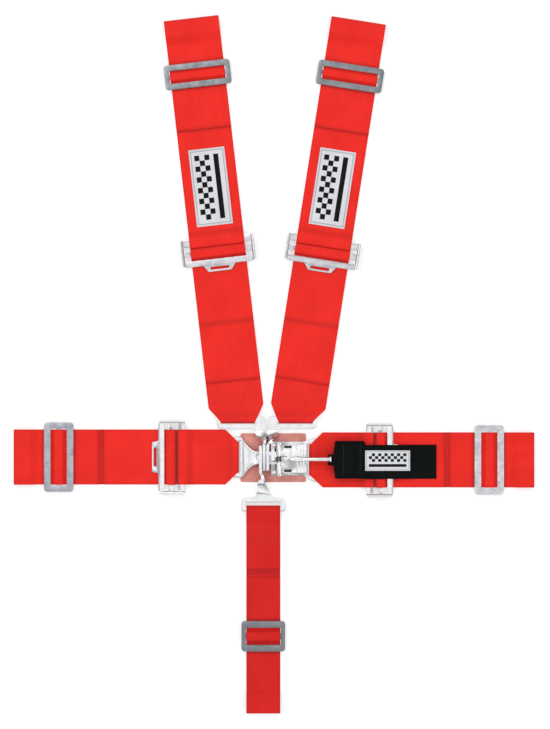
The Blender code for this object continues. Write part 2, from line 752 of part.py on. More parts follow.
def lap_link(parent, fold):
    """Flared plate round the left lap strap's fold, stepping up to the tongue."""
    half_slot = LAP_FOLD_WIDTH / 2 + LINK_SLOT_ROOM
    outer = half_slot + LINK_ARM
    bar_low = fold[0] - LAYER - LINK_BAR
    slot_high = fold[0] + LINK_SLOT_ROOM
    half = TONGUE_WIDTH / 2
    flare_start, flare_end = slot_high + 0.002, -0.0195
    sweep = [
        (x, half + (outer - half) * (1 - math.sin(math.pi / 2 * part)) ** 1.15)
        for part, x in zip(spread(0.0, 1.0, 9), spread(flare_start, flare_end, 9))
    ]
    upper = [(bar_low, outer - 0.003), (bar_low + 0.003, outer)] + sweep
    upper += [(TONGUE_END - 0.004, half), (TONGUE_END, half - 0.004)]
    rim = [(x, -y) for x, y in upper] + upper[::-1]
    shifted = [(x, y + (fold[1] if x < flare_start + 0.001 else 0.0)) for x, y in rim]
    slot = box_outline((fold[0] - LAYER, fold[1] - half_slot), (slot_high, fold[1] + half_slot), 0.001)
    catch = box_outline(
        (TONGUE_SLOT[0], -TONGUE_SLOT_HALF), (TONGUE_SLOT[1], TONGUE_SLOT_HALF), 0.001
    )
    mesh = plate("lap_link", [shifted, slot, catch], TONGUE_THICK, LINK_LOW)

    def step_up(place):
        part = smooth((place.x - TONGUE_STEP_START) / (TONGUE_STEP_END - TONGUE_STEP_START))
        return Vector((place.x, place.y, place.z + (TONGUE_LOW - LINK_LOW) * part))

    bend(mesh, 0, spread(TONGUE_STEP_START, TONGUE_STEP_END, 10), step_up)
    return new_object("lap_link", mesh, CHROME, parent)


def latch_base(parent):
    """Floor plate with the right lap strap's bar, the tongue's guide, its rest and the pin's ears."""
    half = BASE_HALF_WIDTH
    fold = RIGHT_LAP_FOLD
    half_slot = LAP_FOLD_WIDTH / 2 + LINK_SLOT_ROOM
    arm = half_slot + 0.0075
    slot_start, bar_start = fold[0] - 0.0018, fold[0] + LAYER
    end = bar_start + LINK_BAR + 0.001
    rim = rounded(
        [
            (BASE_START, LATCH_Y - half, 0.002), (slot_start - 0.006, LATCH_Y - half, 0.004),
            (end - 0.004, fold[1] - arm, 0.004), (end, fold[1] - arm, 0.003),
            (end, fold[1] + arm, 0.003), (end - 0.004, fold[1] + arm, 0.004),
            (slot_start - 0.006, LATCH_Y + half, 0.004), (BASE_START, LATCH_Y + half, 0.002),
        ],
        closed=True,
    )
    slot = box_outline((slot_start, fold[1] - half_slot), (bar_start, fold[1] + half_slot), 0.0013)
    mesh = plate("latch_base", [rim, slot], BASE_THICK, BASE_LOW)
    base = new_object("latch_base", mesh, CHROME, parent)
    floor = BASE_LOW + BASE_THICK / 2
    wide = GUIDE_HALF_WIDTH
    guide_end = BASE_START + GUIDE_THICK
    guide = box("guide", (BASE_START + GAP, LATCH_Y - wide, floor), (guide_end, LATCH_Y + wide, GUIDE_TOP))
    combine(base, guide, "UNION")
    rest_half = TONGUE_WIDTH / 2
    rest_top = TONGUE_LOW - GAP
    combine(base, box("rest", (REST_X[0], -rest_half, floor), (REST_X[1], rest_half, rest_top)), "UNION")
    crown = (EAR_X[1] - EAR_X[0]) / 2
    ear_rim = rounded([(EAR_X[0], floor), (EAR_X[1], floor), (EAR_X[1], PIN_Z + crown, crown),
                       (EAR_X[0], PIN_Z + crown, crown)], closed=True)
    bore = [
        (PIN_X + (PIN_RADIUS + GAP) * math.cos(angle), PIN_Z + (PIN_RADIUS + GAP) * math.sin(angle))
        for angle in spread(0.0, 2 * math.pi, 25)[:-1]
    ]
    for way in (-1, 1):
        ear = plate("ear", [ear_rim, bore], EAR_PLATE, -EAR_PLATE / 2)
        ear_y = LATCH_Y + way * (EAR_INNER + EAR_PLATE / 2)
        ear.transform(Matrix.Translation((0.0, ear_y, 0.0)) @ Matrix.Rotation(math.pi / 2, 4, "X"))
        combine(base, ear, "UNION")
    room = TONGUE_WIDTH / 2 + 0.0006
    window = box(
        "window",
        (BASE_START - 0.002, -room, TONGUE_LOW - GAP),
        (guide_end + 0.002, room, TONGUE_LOW + TONGUE_THICK + GAP),
    )
    combine(base, window, "DIFFERENCE")
    return base


def latch_pin(parent):
    """Hinge pin with a head at each end."""
    reach = EAR_INNER + EAR_PLATE + GAP
    head_rim, head_thick = PIN_HEAD
    inside = reach + head_thick / 2
    shank_ends = [(PIN_X, LATCH_Y + way * inside, PIN_Z) for way in (-1, 1)]
    pin = new_object("latch_hinge_pin", rod("latch_hinge_pin", *shank_ends, PIN_RADIUS), CHROME, parent)
    for way in (-1, 1):
        start, end = LATCH_Y + way * reach, LATCH_Y + way * (reach + head_thick)
        head = rod("head", (PIN_X, start, PIN_Z), (PIN_X, end, PIN_Z), PIN_RADIUS + head_rim)
        combine(pin, head, "UNION")
    return pin


def latch_lever(parent):
    """Lever on the pin's axis: hub, plate, tooth, rod and cross bar. Its origin is the pin's axis."""
    low = LEVER_LOW - PIN_Z
    start, end = 0.0, LEVER_END - PIN_X
    wide = HUB_HALF_WIDTH
    rim = rounded(
        [
            (start, -wide), (end, -wide, 0.003), (end, wide, 0.003), (start, wide),
            (start, SPRING_ROOM), (HUB_RADIUS + 0.0012, SPRING_ROOM, 0.001),
            (HUB_RADIUS + 0.0012, -SPRING_ROOM, 0.001), (start, -SPRING_ROOM),
        ],
        closed=True,
    )
    slot_x, slot_half, slot_wide = LEVER_SLOT_X - PIN_X, LEVER_SLOT[0] / 2, LEVER_SLOT[1] / 2
    slots = [
        box_outline(
            (slot_x - slot_half, way * LEVER_SLOT_OUT - slot_wide),
            (slot_x + slot_half, way * LEVER_SLOT_OUT + slot_wide), slot_wide * 0.98,
        )
        for way in (-1, 1)
    ]
    mesh = plate("latch_lever", [rim, *slots], LEVER_THICK, low)
    lever = new_object("latch_lever", mesh, CHROME, parent, (0.0, LATCH_Y, 0.0))
    for way in (-1, 1):
        inner, outer = way * (SPRING_ROOM + HUB_PROUD), way * (wide + HUB_PROUD)
        knuckle = rod("knuckle", (0.0, inner, 0.0), (0.0, outer, 0.0), HUB_RADIUS, sides=28)
        combine(lever, knuckle, "UNION")
    tooth = box(
        "tooth",
        (TOOTH[0] - PIN_X, -TOOTH_HALF_WIDTH - LATCH_Y, TOOTH_TIP - PIN_Z),
        (TOOTH[1] - PIN_X, TOOTH_HALF_WIDTH - LATCH_Y, low + LEVER_THICK / 2),
    )
    combine(lever, tooth, "UNION")
    handle_y = HANDLE_Y - LATCH_Y
    cross_x, cross_z = CROSS_BAR_X - PIN_X, CROSS_BAR_Z - PIN_Z
    boss_start, boss_end = (x - PIN_X for x in BOSS_X)
    stem_start = boss_end - 2 * CROSS_BAR_RADIUS
    stem = rod("stem", (stem_start, handle_y, cross_z), (cross_x, handle_y, cross_z), ROD_RADIUS)
    combine(lever, stem, "UNION")
    bm = bmesh.new()
    bmesh.ops.create_uvsphere(bm, u_segments=24, v_segments=12, radius=1.0)
    centre = ((boss_start + boss_end) / 2, handle_y, cross_z)
    scale = ((boss_end - boss_start) / 2, BOSS_HALF_WIDTH, BOSS_HALF_HEIGHT)
    bmesh.ops.transform(bm, verts=bm.verts, matrix=Matrix.LocRotScale(centre, None, scale))
    boss = bpy.data.meshes.new("boss")
    bm.to_mesh(boss)
    bm.free()
    combine(lever, boss, "UNION")
    half = CROSS_BAR_LENGTH / 2
    cross_ends = [(cross_x, handle_y + way * half, cross_z) for way in (-1, 1)]
    combine(lever, rod("cross", *cross_ends, CROSS_BAR_RADIUS), "UNION")
    bore = rod("bore", (0.0, -wide - 0.002, 0.0), (0.0, wide + 0.002, 0.0), PIN_RADIUS + GAP, sides=24)
    combine(lever, bore, "DIFFERENCE")
    return lever


def lever_spring(parent):
    """Torsion spring round the pin: one leg on the guide's top, the other on the lever's plate."""
    turns = SPRING_TURNS
    pitch = (2 * SPRING_WIRE + GAP)
    start_y = LATCH_Y - turns * pitch / 2
    points = [(BASE_START + 0.001, start_y, GUIDE_TOP + GAP + SPRING_WIRE)]
    per_turn = 14
    first = math.radians(90)
    total = turns + 0.25
    leg_z = LEVER_LOW + LEVER_THICK + GAP + SPRING_WIRE
    for i in range(int(total * per_turn) + 1):
        angle = first + 2 * math.pi * i / per_turn
        points.append(
            (
                PIN_X - SPRING_RADIUS * math.cos(angle),
                start_y + turns * pitch * i / (total * per_turn),
                PIN_Z + SPRING_RADIUS * math.sin(angle),
            )
        )
    for reach in SPRING_LEG:
        points.append((PIN_X + SPRING_RADIUS + reach, start_y + turns * pitch, leg_z))
    curve = bpy.data.curves.new("lever_spring", "CURVE")
    curve.dimensions = "3D"
    curve.bevel_depth = SPRING_WIRE
    curve.bevel_resolution = 1
    curve.use_fill_caps = True
    spline = curve.splines.new("POLY")
    spline.points.add(len(points) - 1)
    for point, place in zip(spline.points, points):
        point.co = (*place, 1.0)
    return new_object("lever_spring", curve, ZINC, parent)


def pull_tab(parent):
    """Black webbing folded round the lever's cross bar, with its label. Its origin is the cross bar."""
    near = CROSS_BAR_RADIUS + GAP + TAB_THICK / 2
    low = PULL_FLAT_Z - CROSS_BAR_Z
    step = TAB_THICK + GAP
    fold_end = PULL_FOLD_END - CROSS_BAR_X
    end = PULL_END - CROSS_BAR_X
    rest = PULL_REST_Z - CROSS_BAR_Z
    neck_end, shoulder = 0.004, 0.0065
    route = [
        (fold_end, low), (shoulder, low), (neck_end, -near),
        (-near, -near, near * 0.98), (-near, near, near * 0.98), (0.003, near, 0.006),
        (shoulder, near + (low + step - near) * 0.32),
        (0.014, low + step, 0.008), (fold_end + 0.004, low + step, 0.006),
        (fold_end + 0.012, low, 0.008), (0.073, low, 0.03), (0.118, rest, 0.03), (end, rest),
    ]

    def width_at(x):
        if x > fold_end + 0.002:
            return PULL_WIDTH
        opened = smooth((x - neck_end) / (shoulder - neck_end))
        return PULL_NECK_WIDTH + (PULL_FOLD_WIDTH - PULL_NECK_WIDTH) * opened

    def side_at(x):
        return -0.0009 if x < fold_end + 0.002 else -0.004

    path = rounded(route)
    tab = ribbon("pull_tab", path, BLACK, parent, width_at, side_at=side_at, thick=TAB_THICK)
    slit = ROD_RADIUS + GAP * 2
    reach = 2 * near
    combine(tab, box("slit", (-reach, -slit, -slit), (0.0, slit, near / 2)), "DIFFERENCE")
    combine(tab, box("slit_top", (-reach, -slit, 0.0), (slit, slit, reach)), "DIFFERENCE")
    label_start, label_end = (place - CROSS_BAR_X for place in PULL_LABEL)
    lift = TAB_THICK / 2 + GAP + LABEL_THICK / 2
    upper = [p for p in path if label_start < p.x < label_end]
    befores = [Vector((label_start, low + step)), *upper]
    afters = [*upper[1:], Vector((label_end, upper[-1].y))]
    cover = []
    for before, place, after in zip(befores, upper, afters):
        run = (after - before).normalized()
        cover.append(place + Vector((-run.y, run.x)) * lift)
    label_width = steady(PULL_LABEL_WIDTH)
    ribbon("pull_tab_label", cover, LABEL, parent, label_width, side_at=lambda x: -0.002, thick=LABEL_THICK)
    return tab


def buckle_pad(parent):
    """Leather pad under the buckle."""
    rim = box_outline((-PAD_LENGTH / 2, -PAD_WIDTH / 2), (PAD_LENGTH / 2, PAD_WIDTH / 2), PAD_CORNER)
    return new_object("buckle_pad", plate("buckle_pad", [rim], PAD_THICK, 0.0), LEATHER, parent)


def build():
    """The whole harness."""
    latch_side = anchor("latch_side")
    buckle_pad(latch_side)
    latch_base(latch_side)
    latch_pin(latch_side)
    lever_spring(latch_side)
    lap_strap("right", latch_side, RIGHT_LAP_FOLD, 0.0, BASE_THICK)
    pivot = anchor("lever_pivot", latch_side, (PIN_X, 0.0, PIN_Z))
    latch_lever(pivot)
    handle = anchor("pull_tab_pivot", pivot, (CROSS_BAR_X - PIN_X, HANDLE_Y, CROSS_BAR_Z - PIN_Z))
    pull_tab(handle)
    left_lap = anchor("left_lap")
    lap_strap("left", left_lap, LEFT_LAP_FOLD, math.pi, TONGUE_THICK)
    lap_link(left_lap, LEFT_LAP_FOLD)
    left = anchor("left_shoulder_eye", left_lap, (LEFT_EYE_X, 0.0, 0.0))
    shoulder_link("left", left, LEFT_EYE_X, LEFT_SHOULDER_FOLD, -1, -0.0178 - LEFT_EYE_X)
    shoulder_strap("left", left, LEFT_EYE_X, LEFT_SHOULDER_FOLD, LEFT_LEAN)
    right = anchor("right_shoulder_eye", left_lap, (RIGHT_EYE_X, 0.0, 0.0))
    shoulder_link("right", right, RIGHT_EYE_X, RIGHT_SHOULDER_FOLD, 1, -0.0005 - RIGHT_EYE_X)
    shoulder_strap("right", right, RIGHT_EYE_X, RIGHT_SHOULDER_FOLD, -RIGHT_LEAN)
    crotch = anchor("crotch_eye", left_lap, (CROTCH_EYE_X, 0.0, 0.0))
    crotch_link(crotch, CROTCH_FOLD)
    crotch_strap(crotch, CROTCH_FOLD)


build()
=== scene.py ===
"""Looks of a five-point latch-and-link racing harness, laid flat on a pale floor.

Every strap is built along its own X axis, outwards from the fold where it wraps its link, as a run of
distance and height, and is then put in its place. All sizes are in metres.
"""

import math

import bmesh
import bpy
from mathutils import Matrix, Vector


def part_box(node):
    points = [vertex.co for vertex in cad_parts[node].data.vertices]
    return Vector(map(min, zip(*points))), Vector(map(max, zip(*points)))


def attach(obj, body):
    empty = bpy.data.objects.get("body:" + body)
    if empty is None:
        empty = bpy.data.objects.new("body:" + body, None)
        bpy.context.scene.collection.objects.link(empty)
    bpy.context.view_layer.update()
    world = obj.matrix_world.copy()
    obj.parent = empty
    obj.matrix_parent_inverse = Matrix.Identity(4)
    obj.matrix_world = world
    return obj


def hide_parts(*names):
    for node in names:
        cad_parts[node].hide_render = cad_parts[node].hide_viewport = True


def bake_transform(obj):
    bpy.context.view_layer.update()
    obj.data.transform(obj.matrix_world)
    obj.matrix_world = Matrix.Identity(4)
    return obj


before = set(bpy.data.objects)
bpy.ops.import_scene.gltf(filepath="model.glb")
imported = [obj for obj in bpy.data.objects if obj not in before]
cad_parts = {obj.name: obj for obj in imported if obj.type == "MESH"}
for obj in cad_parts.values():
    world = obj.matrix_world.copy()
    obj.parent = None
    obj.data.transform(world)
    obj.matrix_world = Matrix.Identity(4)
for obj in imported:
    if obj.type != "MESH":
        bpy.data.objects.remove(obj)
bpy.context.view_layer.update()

# Clearance between pieces that touch, the step of a rounded corner, and of a run of webbing
GAP = 0.0003
ARC_STEP = math.radians(9)
# Distance below which corners are one
MERGE = 0.000002
RUN_STEP = 0.0022

# Webbing
WEB_THICK = 0.0013
LAP_WIDTH = 0.0762
SHOULDER_WIDTH = 0.0762
CROTCH_WIDTH = 0.047
LAP_FOLD_WIDTH = 0.043
SHOULDER_FOLD_WIDTH = 0.047
LAP_TAPER = 0.019
SHOULDER_TAPER = 0.024
LAP_LENGTH = 0.312
SHOULDER_LENGTH = 0.565
CROTCH_LENGTH = 0.288
LOOP_HEIGHT = 0.0065
LOOP_DEPTH = 0.022
SKEW_RUN = 0.034
# Where the sewn box that closes a strap's fold starts and ends
FOLD_BOX = (0.030, 0.052)

# Where each strap starts and how far it leans from its axis
LEFT_LAP_FOLD = (-0.0474, 0.001)
RIGHT_LAP_FOLD = (0.0496, -0.003)
LEFT_SHOULDER_FOLD = (-0.0488, 0.0475)
RIGHT_SHOULDER_FOLD = (0.031, 0.0475)
CROTCH_FOLD = (-0.0137, -0.0661)
LEFT_LEAN = math.radians(6.6)
RIGHT_LEAN = math.radians(8.9)

# Distances along the straps
LAP_SLIDE_AT = 0.2496
SHOULDER_SLIDE_AT = 0.4865
CROTCH_SLIDE_AT = 0.181
LAP_REAR_BAR_AT = {"left": 0.079, "right": 0.084}
SHOULDER_REAR_BAR_AT = 0.2545
LAP_TAIL_END = 0.187
LAP_WRAP_END = 0.195
SHOULDER_TAIL_END = 0.060
SHOULDER_TURN_BACK_END = 0.137
SHOULDER_REAR_TURN_END = 0.386
SHOULDER_WRAP_END = 0.411
CROTCH_TURN_BACK_END = 0.088
CROTCH_WRAP_END = 0.100

# Three-bar slides: length along the strap, width, outer bar, end, middle bar, thickness
LAP_SLIDE = (0.0406, 0.096, 0.009, 0.008, 0.007, 0.0024)
SHOULDER_SLIDE = (0.034, 0.092, 0.008, 0.0065, 0.005, 0.0022)
CROTCH_SLIDE = (0.042, 0.0605, 0.009, 0.006, 0.007, 0.0024)
SLIDE_CORNER = 0.0045
HUMP_SLOPE = math.radians(52)

# Tilt-lock adjusters, measured from the rear bar's axis
FRAME_THICK = 0.0022
FRAME_HALF_WIDTH = 0.0494
EAR_WALL = 0.005
EAR_LENGTH = 0.036
FOLD_RADIUS = 0.0013
LIP_WIDTH = 0.0014
REAR_BAR = 0.0095
FRONT_BAR = 0.008
BAR_TO_BAR = 0.0325
TAB_LENGTH = 0.009
TAB_ROOT_WIDTH = 0.045
LAP_TAB_TIP_WIDTH = 0.041
SHOULDER_TAB_TIP_WIDTH = 0.032
TAB_SLOT = (0.004, 0.026)
SLIDER_AT = 0.0145
SLIDER_SIZE = (0.008, 0.1012, 0.004)
SLIDER_LIFT = 0.0025
SLIDER_PLAY = 0.0018
# How far webbing stands off the bars that it wraps, so that no floor shows beside them
PUFF = 0.0012

# Link plates and the tongue that they are strung on
PAD_TOP = 0.0022
LINK_THICK = 0.0038
TONGUE_THICK = 0.003
LINK_BAR = 0.0065
LINK_SLOT_ROOM = 0.001
LINK_ARM = 0.006
SHOULDER_LINK_ARM = 0.0045
LINK_LOW = PAD_TOP + GAP
TONGUE_WIDTH = 0.0175
TONGUE_LOW = 0.0085
TONGUE_END = 0.036
TONGUE_STEP = (-0.044, -0.021)
TONGUE_SLOT = (0.0218, 0.0327)
TONGUE_SLOT_HALF = 0.0056
# Rolled rim of the lap link: radius, and how far in from the edge
BEAD_RADIUS = 0.0014
BEAD_INSET = 0.0016
EYE_HALF_HEIGHT = 0.0065
EYE_HALF_LENGTH = 0.018
EYE_SLOT = (0.025, 0.0045)
CROTCH_EYE_X = -0.0175
LEFT_EYE_X = -0.0125
RIGHT_EYE_X = -0.0075
NECK_HALF_WIDTH = 0.007
# Extra thickness of a link's upright eye, as a share of the plate's
EYE_FULLNESS = 0.09

# Latch
LATCH_Y = -0.001
BASE_THICK = 0.0025
BASE_START = -0.003
BASE_HALF_WIDTH = 0.0235
GUIDE_THICK = 0.005
GUIDE_HALF_WIDTH = 0.017
GUIDE_TOP = 0.015
EAR_PLATE = 0.0025
EAR_INNER = 0.020
EAR_X = (0.0035, 0.0135)
PIN_X = 0.008
PIN_Z = 0.0162
PIN_RADIUS = 0.0021
HUB_RADIUS = 0.0039
HUB_HALF_WIDTH = 0.0192
SPRING_ROOM = 0.0055
LEVER_LOW = 0.0122
LEVER_THICK = 0.0025
LEVER_END = 0.0465
TOOTH = (0.024, 0.027)
TOOTH_TIP = 0.009
TOOTH_HALF_WIDTH = 0.005
LEVER_SLOT_X = 0.0203
LEVER_SLOT_OUT = 0.0165
LEVER_SLOT = (0.0105, 0.0036)
REST_X = (0.0325, 0.042)
# Grooves across the lever's plate, and the boss that its rod grows from
LEVER_GROOVES = (0.0335, 0.0385, 0.0425)
GROOVE_RADIUS = 0.0007
ROD_START = 0.036
BOSS_X = 0.027
BOSS_SIZE = (0.013, 0.0042, 0.0034)
ROD_RADIUS = 0.0027
CROSS_BAR_X = 0.079
CROSS_BAR_Z = 0.0152
CROSS_BAR_RADIUS = 0.002
CROSS_BAR_LENGTH = 0.013
HANDLE_Y = -0.0015
SPRING_WIRE = 0.0005
SPRING_RADIUS = 0.0031
SPRING_TURNS = 5

# Pull tab and sewn labels
TAB_THICK = 0.0012
PULL_NECK_WIDTH = 0.015
PULL_FOLD_WIDTH = 0.052
PULL_WIDTH = 0.047
PULL_FOLD_END = 0.124
PULL_END = 0.226
LABEL_THICK = 0.0005
# A stitch's half width and half height, and the half length as a share of its pitch
STITCH = (0.00036, 0.0003)
STITCH_SHARE = 0.43
SHOULDER_LABEL = (0.107, 0.050)
SHOULDER_LABEL_AT = 0.330
PULL_LABEL = (0.127, 0.189)
PULL_LABEL_WIDTH = 0.028
# Label print, in shares of half the label's length and width: its end, one check, the checked band, the stripe
PRINT_END = 0.84
CHECK = (0.14, 0.28)
CHECKED_BAND = (-0.12, 0.72)
STRIPE = (-0.62, -0.34)

# Rounding of edges: its width on each kind of metal piece
SLIDE_EDGE = 0.00105
FRAME_EDGE = 0.0009
SLIDER_EDGE = 0.0007
LINK_EDGE = 0.0014
LAP_LINK_EDGE = 0.0006
BASE_EDGE = 0.0005
PIN_EDGE = 0.0004
LEVER_EDGE = 0.00035

# Values that follow from the ones above
LAYER = WEB_THICK + GAP
HUG = GAP + WEB_THICK / 2
SLIDE_LOW = 2 * LAYER
UPRIGHT_FROM = EYE_SLOT[0] / 2 + 0.0035
EYE_Z = TONGUE_LOW + TONGUE_THICK / 2
LINK_MID = LINK_LOW + LINK_THICK / 2
FRAME_MID = SLIDE_LOW + FRAME_THICK / 2
SLIDER_LOW = SLIDE_LOW + SLIDER_LIFT
SLIDER_TOP = SLIDER_LOW + SLIDER_SIZE[2]


# ---------------------------------------------------------------- finishes


def wire(tree, source, target):
    """Feed a socket, or a constant, into an input."""
    if isinstance(source, (int, float, tuple)):
        target.default_value = source
    else:
        tree.links.new(source, target)


def calc(tree, operation, first, second=0.0):
    """A Math node's result."""
    made = tree.nodes.new("ShaderNodeMath")
    made.operation = operation
    wire(tree, first, made.inputs[0])
    wire(tree, second, made.inputs[1])
    return made.outputs[0]


def sums(tree):
    """Short calls for a tree's sums, differences and products."""
    return [lambda *values, name=name: calc(tree, name, *values) for name in ("ADD", "SUBTRACT", "MULTIPLY")]


def parts_of(tree, vector):
    """The X, Y and Z of a vector."""
    made = tree.nodes.new("ShaderNodeSeparateXYZ")
    tree.links.new(vector, made.inputs[0])
    return made.outputs


def noise_at(tree, vector, scale, detail=3.0, roughness=0.5):
    """Noise from 0 to 1."""
    made = tree.nodes.new("ShaderNodeTexNoise")
    made.inputs["Scale"].default_value = scale
    made.inputs["Detail"].default_value = detail
    made.inputs["Roughness"].default_value = roughness
    tree.links.new(vector, made.inputs["Vector"])
    return made.outputs["Fac"]


def remap(tree, value, low, high, to_low=0.0, to_high=1.0):
    """Stretch a range of a value to another, and clamp it."""
    made = tree.nodes.new("ShaderNodeMapRange")
    wire(tree, value, made.inputs["Value"])
    for socket, number in zip(("From Min", "From Max", "To Min", "To Max"), (low, high, to_low, to_high)):
        wire(tree, number, made.inputs[socket])
    return made.outputs["Result"]


def tint(tree, share, first, second):
    """A colour between two."""
    made = tree.nodes.new("ShaderNodeMix")
    made.data_type = "RGBA"
    wire(tree, share, made.inputs[0])
    for socket, colour in ((made.inputs[6], first), (made.inputs[7], second)):
        wire(tree, (*colour, 1.0) if isinstance(colour, tuple) else colour, socket)
    return made.outputs[2]


def stretched(tree, vector, scale, turn=0.0):
    """Coordinates scaled along each axis, with a turn about Z."""
    made = tree.nodes.new("ShaderNodeMapping")
    made.inputs["Rotation"].default_value = (0.0, 0.0, turn)
    made.inputs["Scale"].default_value = scale
    tree.links.new(vector, made.inputs["Vector"])
    return made.outputs[0]


def effect(name, sockets_in, sockets_out):
    """An empty shader node group with named inputs and outputs. Returns its tree and its two end nodes."""
    tree = bpy.data.node_groups.new(name, "ShaderNodeTree")
    for label, kind, start in sockets_in:
        socket = tree.interface.new_socket(label, in_out="INPUT", socket_type=kind)
        if start is not None:
            socket.default_value = start
    for label in sockets_out:
        tree.interface.new_socket(label, in_out="OUTPUT", socket_type="NodeSocketFloat")
    return tree, tree.nodes.new("NodeGroupInput").outputs, tree.nodes.new("NodeGroupOutput").inputs


FLOAT = "NodeSocketFloat"
VECTOR = "NodeSocketVector"


def weave_effect():
    """Herringbone webbing: panels of slanted ribs with fine warp yarns, from a map of distance and side."""
    tree, given, out = effect(
        "webbing_weave",
        [("Place", VECTOR, None), ("Rib", FLOAT, 0.0022), ("Panel", FLOAT, 0.0085), ("Width", FLOAT, 0.0762)],
        ["Height", "Tone", "Selvedge"],
    )
    add, less, times = sums(tree)
    place = parts_of(tree, given["Place"])
    along, across = place[0], place[1]
    wobble = times(less(noise_at(tree, given["Place"], 60.0), 0.5), 0.0012)
    panel = calc(tree, "PINGPONG", add(across, wobble), given["Panel"])
    slant = add(add(along, times(panel, 1.6)), wobble)
    turns = calc(tree, "DIVIDE", slant, given["Rib"])
    rib = remap(tree, calc(tree, "SINE", times(turns, 2 * math.pi)), -1.0, 1.0)
    yarns = calc(tree, "DIVIDE", across, times(given["Rib"], 0.4))
    warp = calc(tree, "ABSOLUTE", calc(tree, "SINE", times(yarns, math.pi)))
    edge = less(times(given["Width"], 0.5), calc(tree, "ABSOLUTE", across))
    selvedge = remap(tree, edge, 0.0012, 0.0022, 1.0, 0.0)
    groove = remap(tree, calc(tree, "ABSOLUTE", less(edge, 0.0026)), 0.0, 0.0008, 0.0, 1.0)
    surface = add(times(rib, 0.55), times(warp, 0.3))
    wire(tree, times(surface, groove), out["Height"])
    blotch = remap(tree, noise_at(tree, given["Place"], 22.0, 4.0), 0.3, 0.7)
    streaks = stretched(tree, given["Place"], (4.0, 240.0, 1.0))
    streak = remap(tree, noise_at(tree, streaks, 1.0, 2.0), 0.3, 0.7)
    tone_and_painted_shade = add(times(blotch, 0.28), times(streak, 0.12))
    # Painted shade: rib tops lighter and valleys darker in colour, and the groove near each edge darker, on top of
    # the random blotches and streaks
    tone_and_painted_shade = add(tone_and_painted_shade, times(surface, 0.65))
    wire(tree, times(tone_and_painted_shade, remap(tree, groove, 0.0, 1.0, 0.7, 1.0)), out["Tone"])
    wire(tree, selvedge, out["Selvedge"])
    return tree


def plating_effect():
    """Plated or tumbled metal: soft waves, fine scratches and a few dull patches."""
    tree, given, out = effect(
        "metal_plating",
        [("Place", VECTOR, None), ("Polish", FLOAT, 0.12), ("Dullness", FLOAT, 0.3)],
        ["Roughness", "Tone", "Height"],
    )
    add, less, times = sums(tree)
    patches = remap(tree, noise_at(tree, given["Place"], 110.0, 4.0, 0.6), 0.38, 0.66)
    brushed = stretched(tree, given["Place"], (60.0, 2600.0, 300.0), 0.5)
    scratches = remap(tree, noise_at(tree, brushed, 1.0, 2.0), 0.58, 0.72)
    span = less(given["Dullness"], given["Polish"])
    dull = add(times(patches, 0.7), times(scratches, 0.3))
    wire(tree, add(given["Polish"], times(span, dull)), out["Roughness"])
    wire(tree, dull, out["Tone"])
    waves = noise_at(tree, given["Place"], 140.0, 2.0)
    wire(tree, less(waves, times(scratches, 0.08)), out["Height"])
    return tree


def grain_effect():
    """Leather: pebbled cells with creases between them, and cloudy colour."""
    tree, given, out = effect(
        "leather_grain", [("Place", VECTOR, None), ("Cells", FLOAT, 900.0)], ["Height", "Tone"]
    )
    add, _, times = sums(tree)
    cells = tree.nodes.new("ShaderNodeTexVoronoi")
    cells.feature = "DISTANCE_TO_EDGE"
    tree.links.new(given["Place"], cells.inputs["Vector"])
    tree.links.new(given["Cells"], cells.inputs["Scale"])
    pebble = remap(tree, cells.outputs["Distance"], 0.0, 0.32)
    fine = noise_at(tree, given["Place"], 2400.0, 3.0)
    cloud = remap(tree, noise_at(tree, given["Place"], 70.0, 5.0, 0.6), 0.3, 0.7)
    wire(tree, add(pebble, times(fine, 0.25)), out["Height"])
    wire(tree, add(times(pebble, 0.45), times(cloud, 0.55)), out["Tone"])
    return tree


WEAVE = weave_effect()
PLATING = plating_effect()
GRAIN = grain_effect()


def blank_finish(name, source):
    """A material with its Principled shader, and the coordinates that its patterns read."""
    made = bpy.data.materials.new(name)
    made.use_nodes = True
    tree = made.node_tree
    if source == "weave":
        place = tree.nodes.new("ShaderNodeUVMap")
        place.uv_map = "weave"
        return made, tree, tree.nodes["Principled BSDF"], place.outputs[0]
    place = tree.nodes.new("ShaderNodeTexCoord")
    return made, tree, tree.nodes["Principled BSDF"], place.outputs["Object"]


def placed(tree, group, place, **values):
    """An effect in a material, with its own values."""
    made = tree.nodes.new("ShaderNodeGroup")
    made.node_tree = group
    tree.links.new(place, made.inputs["Place"])
    for label, value in values.items():
        made.inputs[label].default_value = value
    return made.outputs


def relief(tree, shader, height, depth):
    """Bump of this depth in metres."""
    bump = tree.nodes.new("ShaderNodeBump")
    bump.inputs["Distance"].default_value = depth
    bump.inputs["Strength"].default_value = 1.0
    wire(tree, height, bump.inputs["Height"])
    tree.links.new(bump.outputs[0], shader.inputs["Normal"])


def feed(tree, shader, sources):
    """Feed a shader's inputs by their names."""
    for label, source in sources.items():
        wire(tree, source, shader.inputs[label])


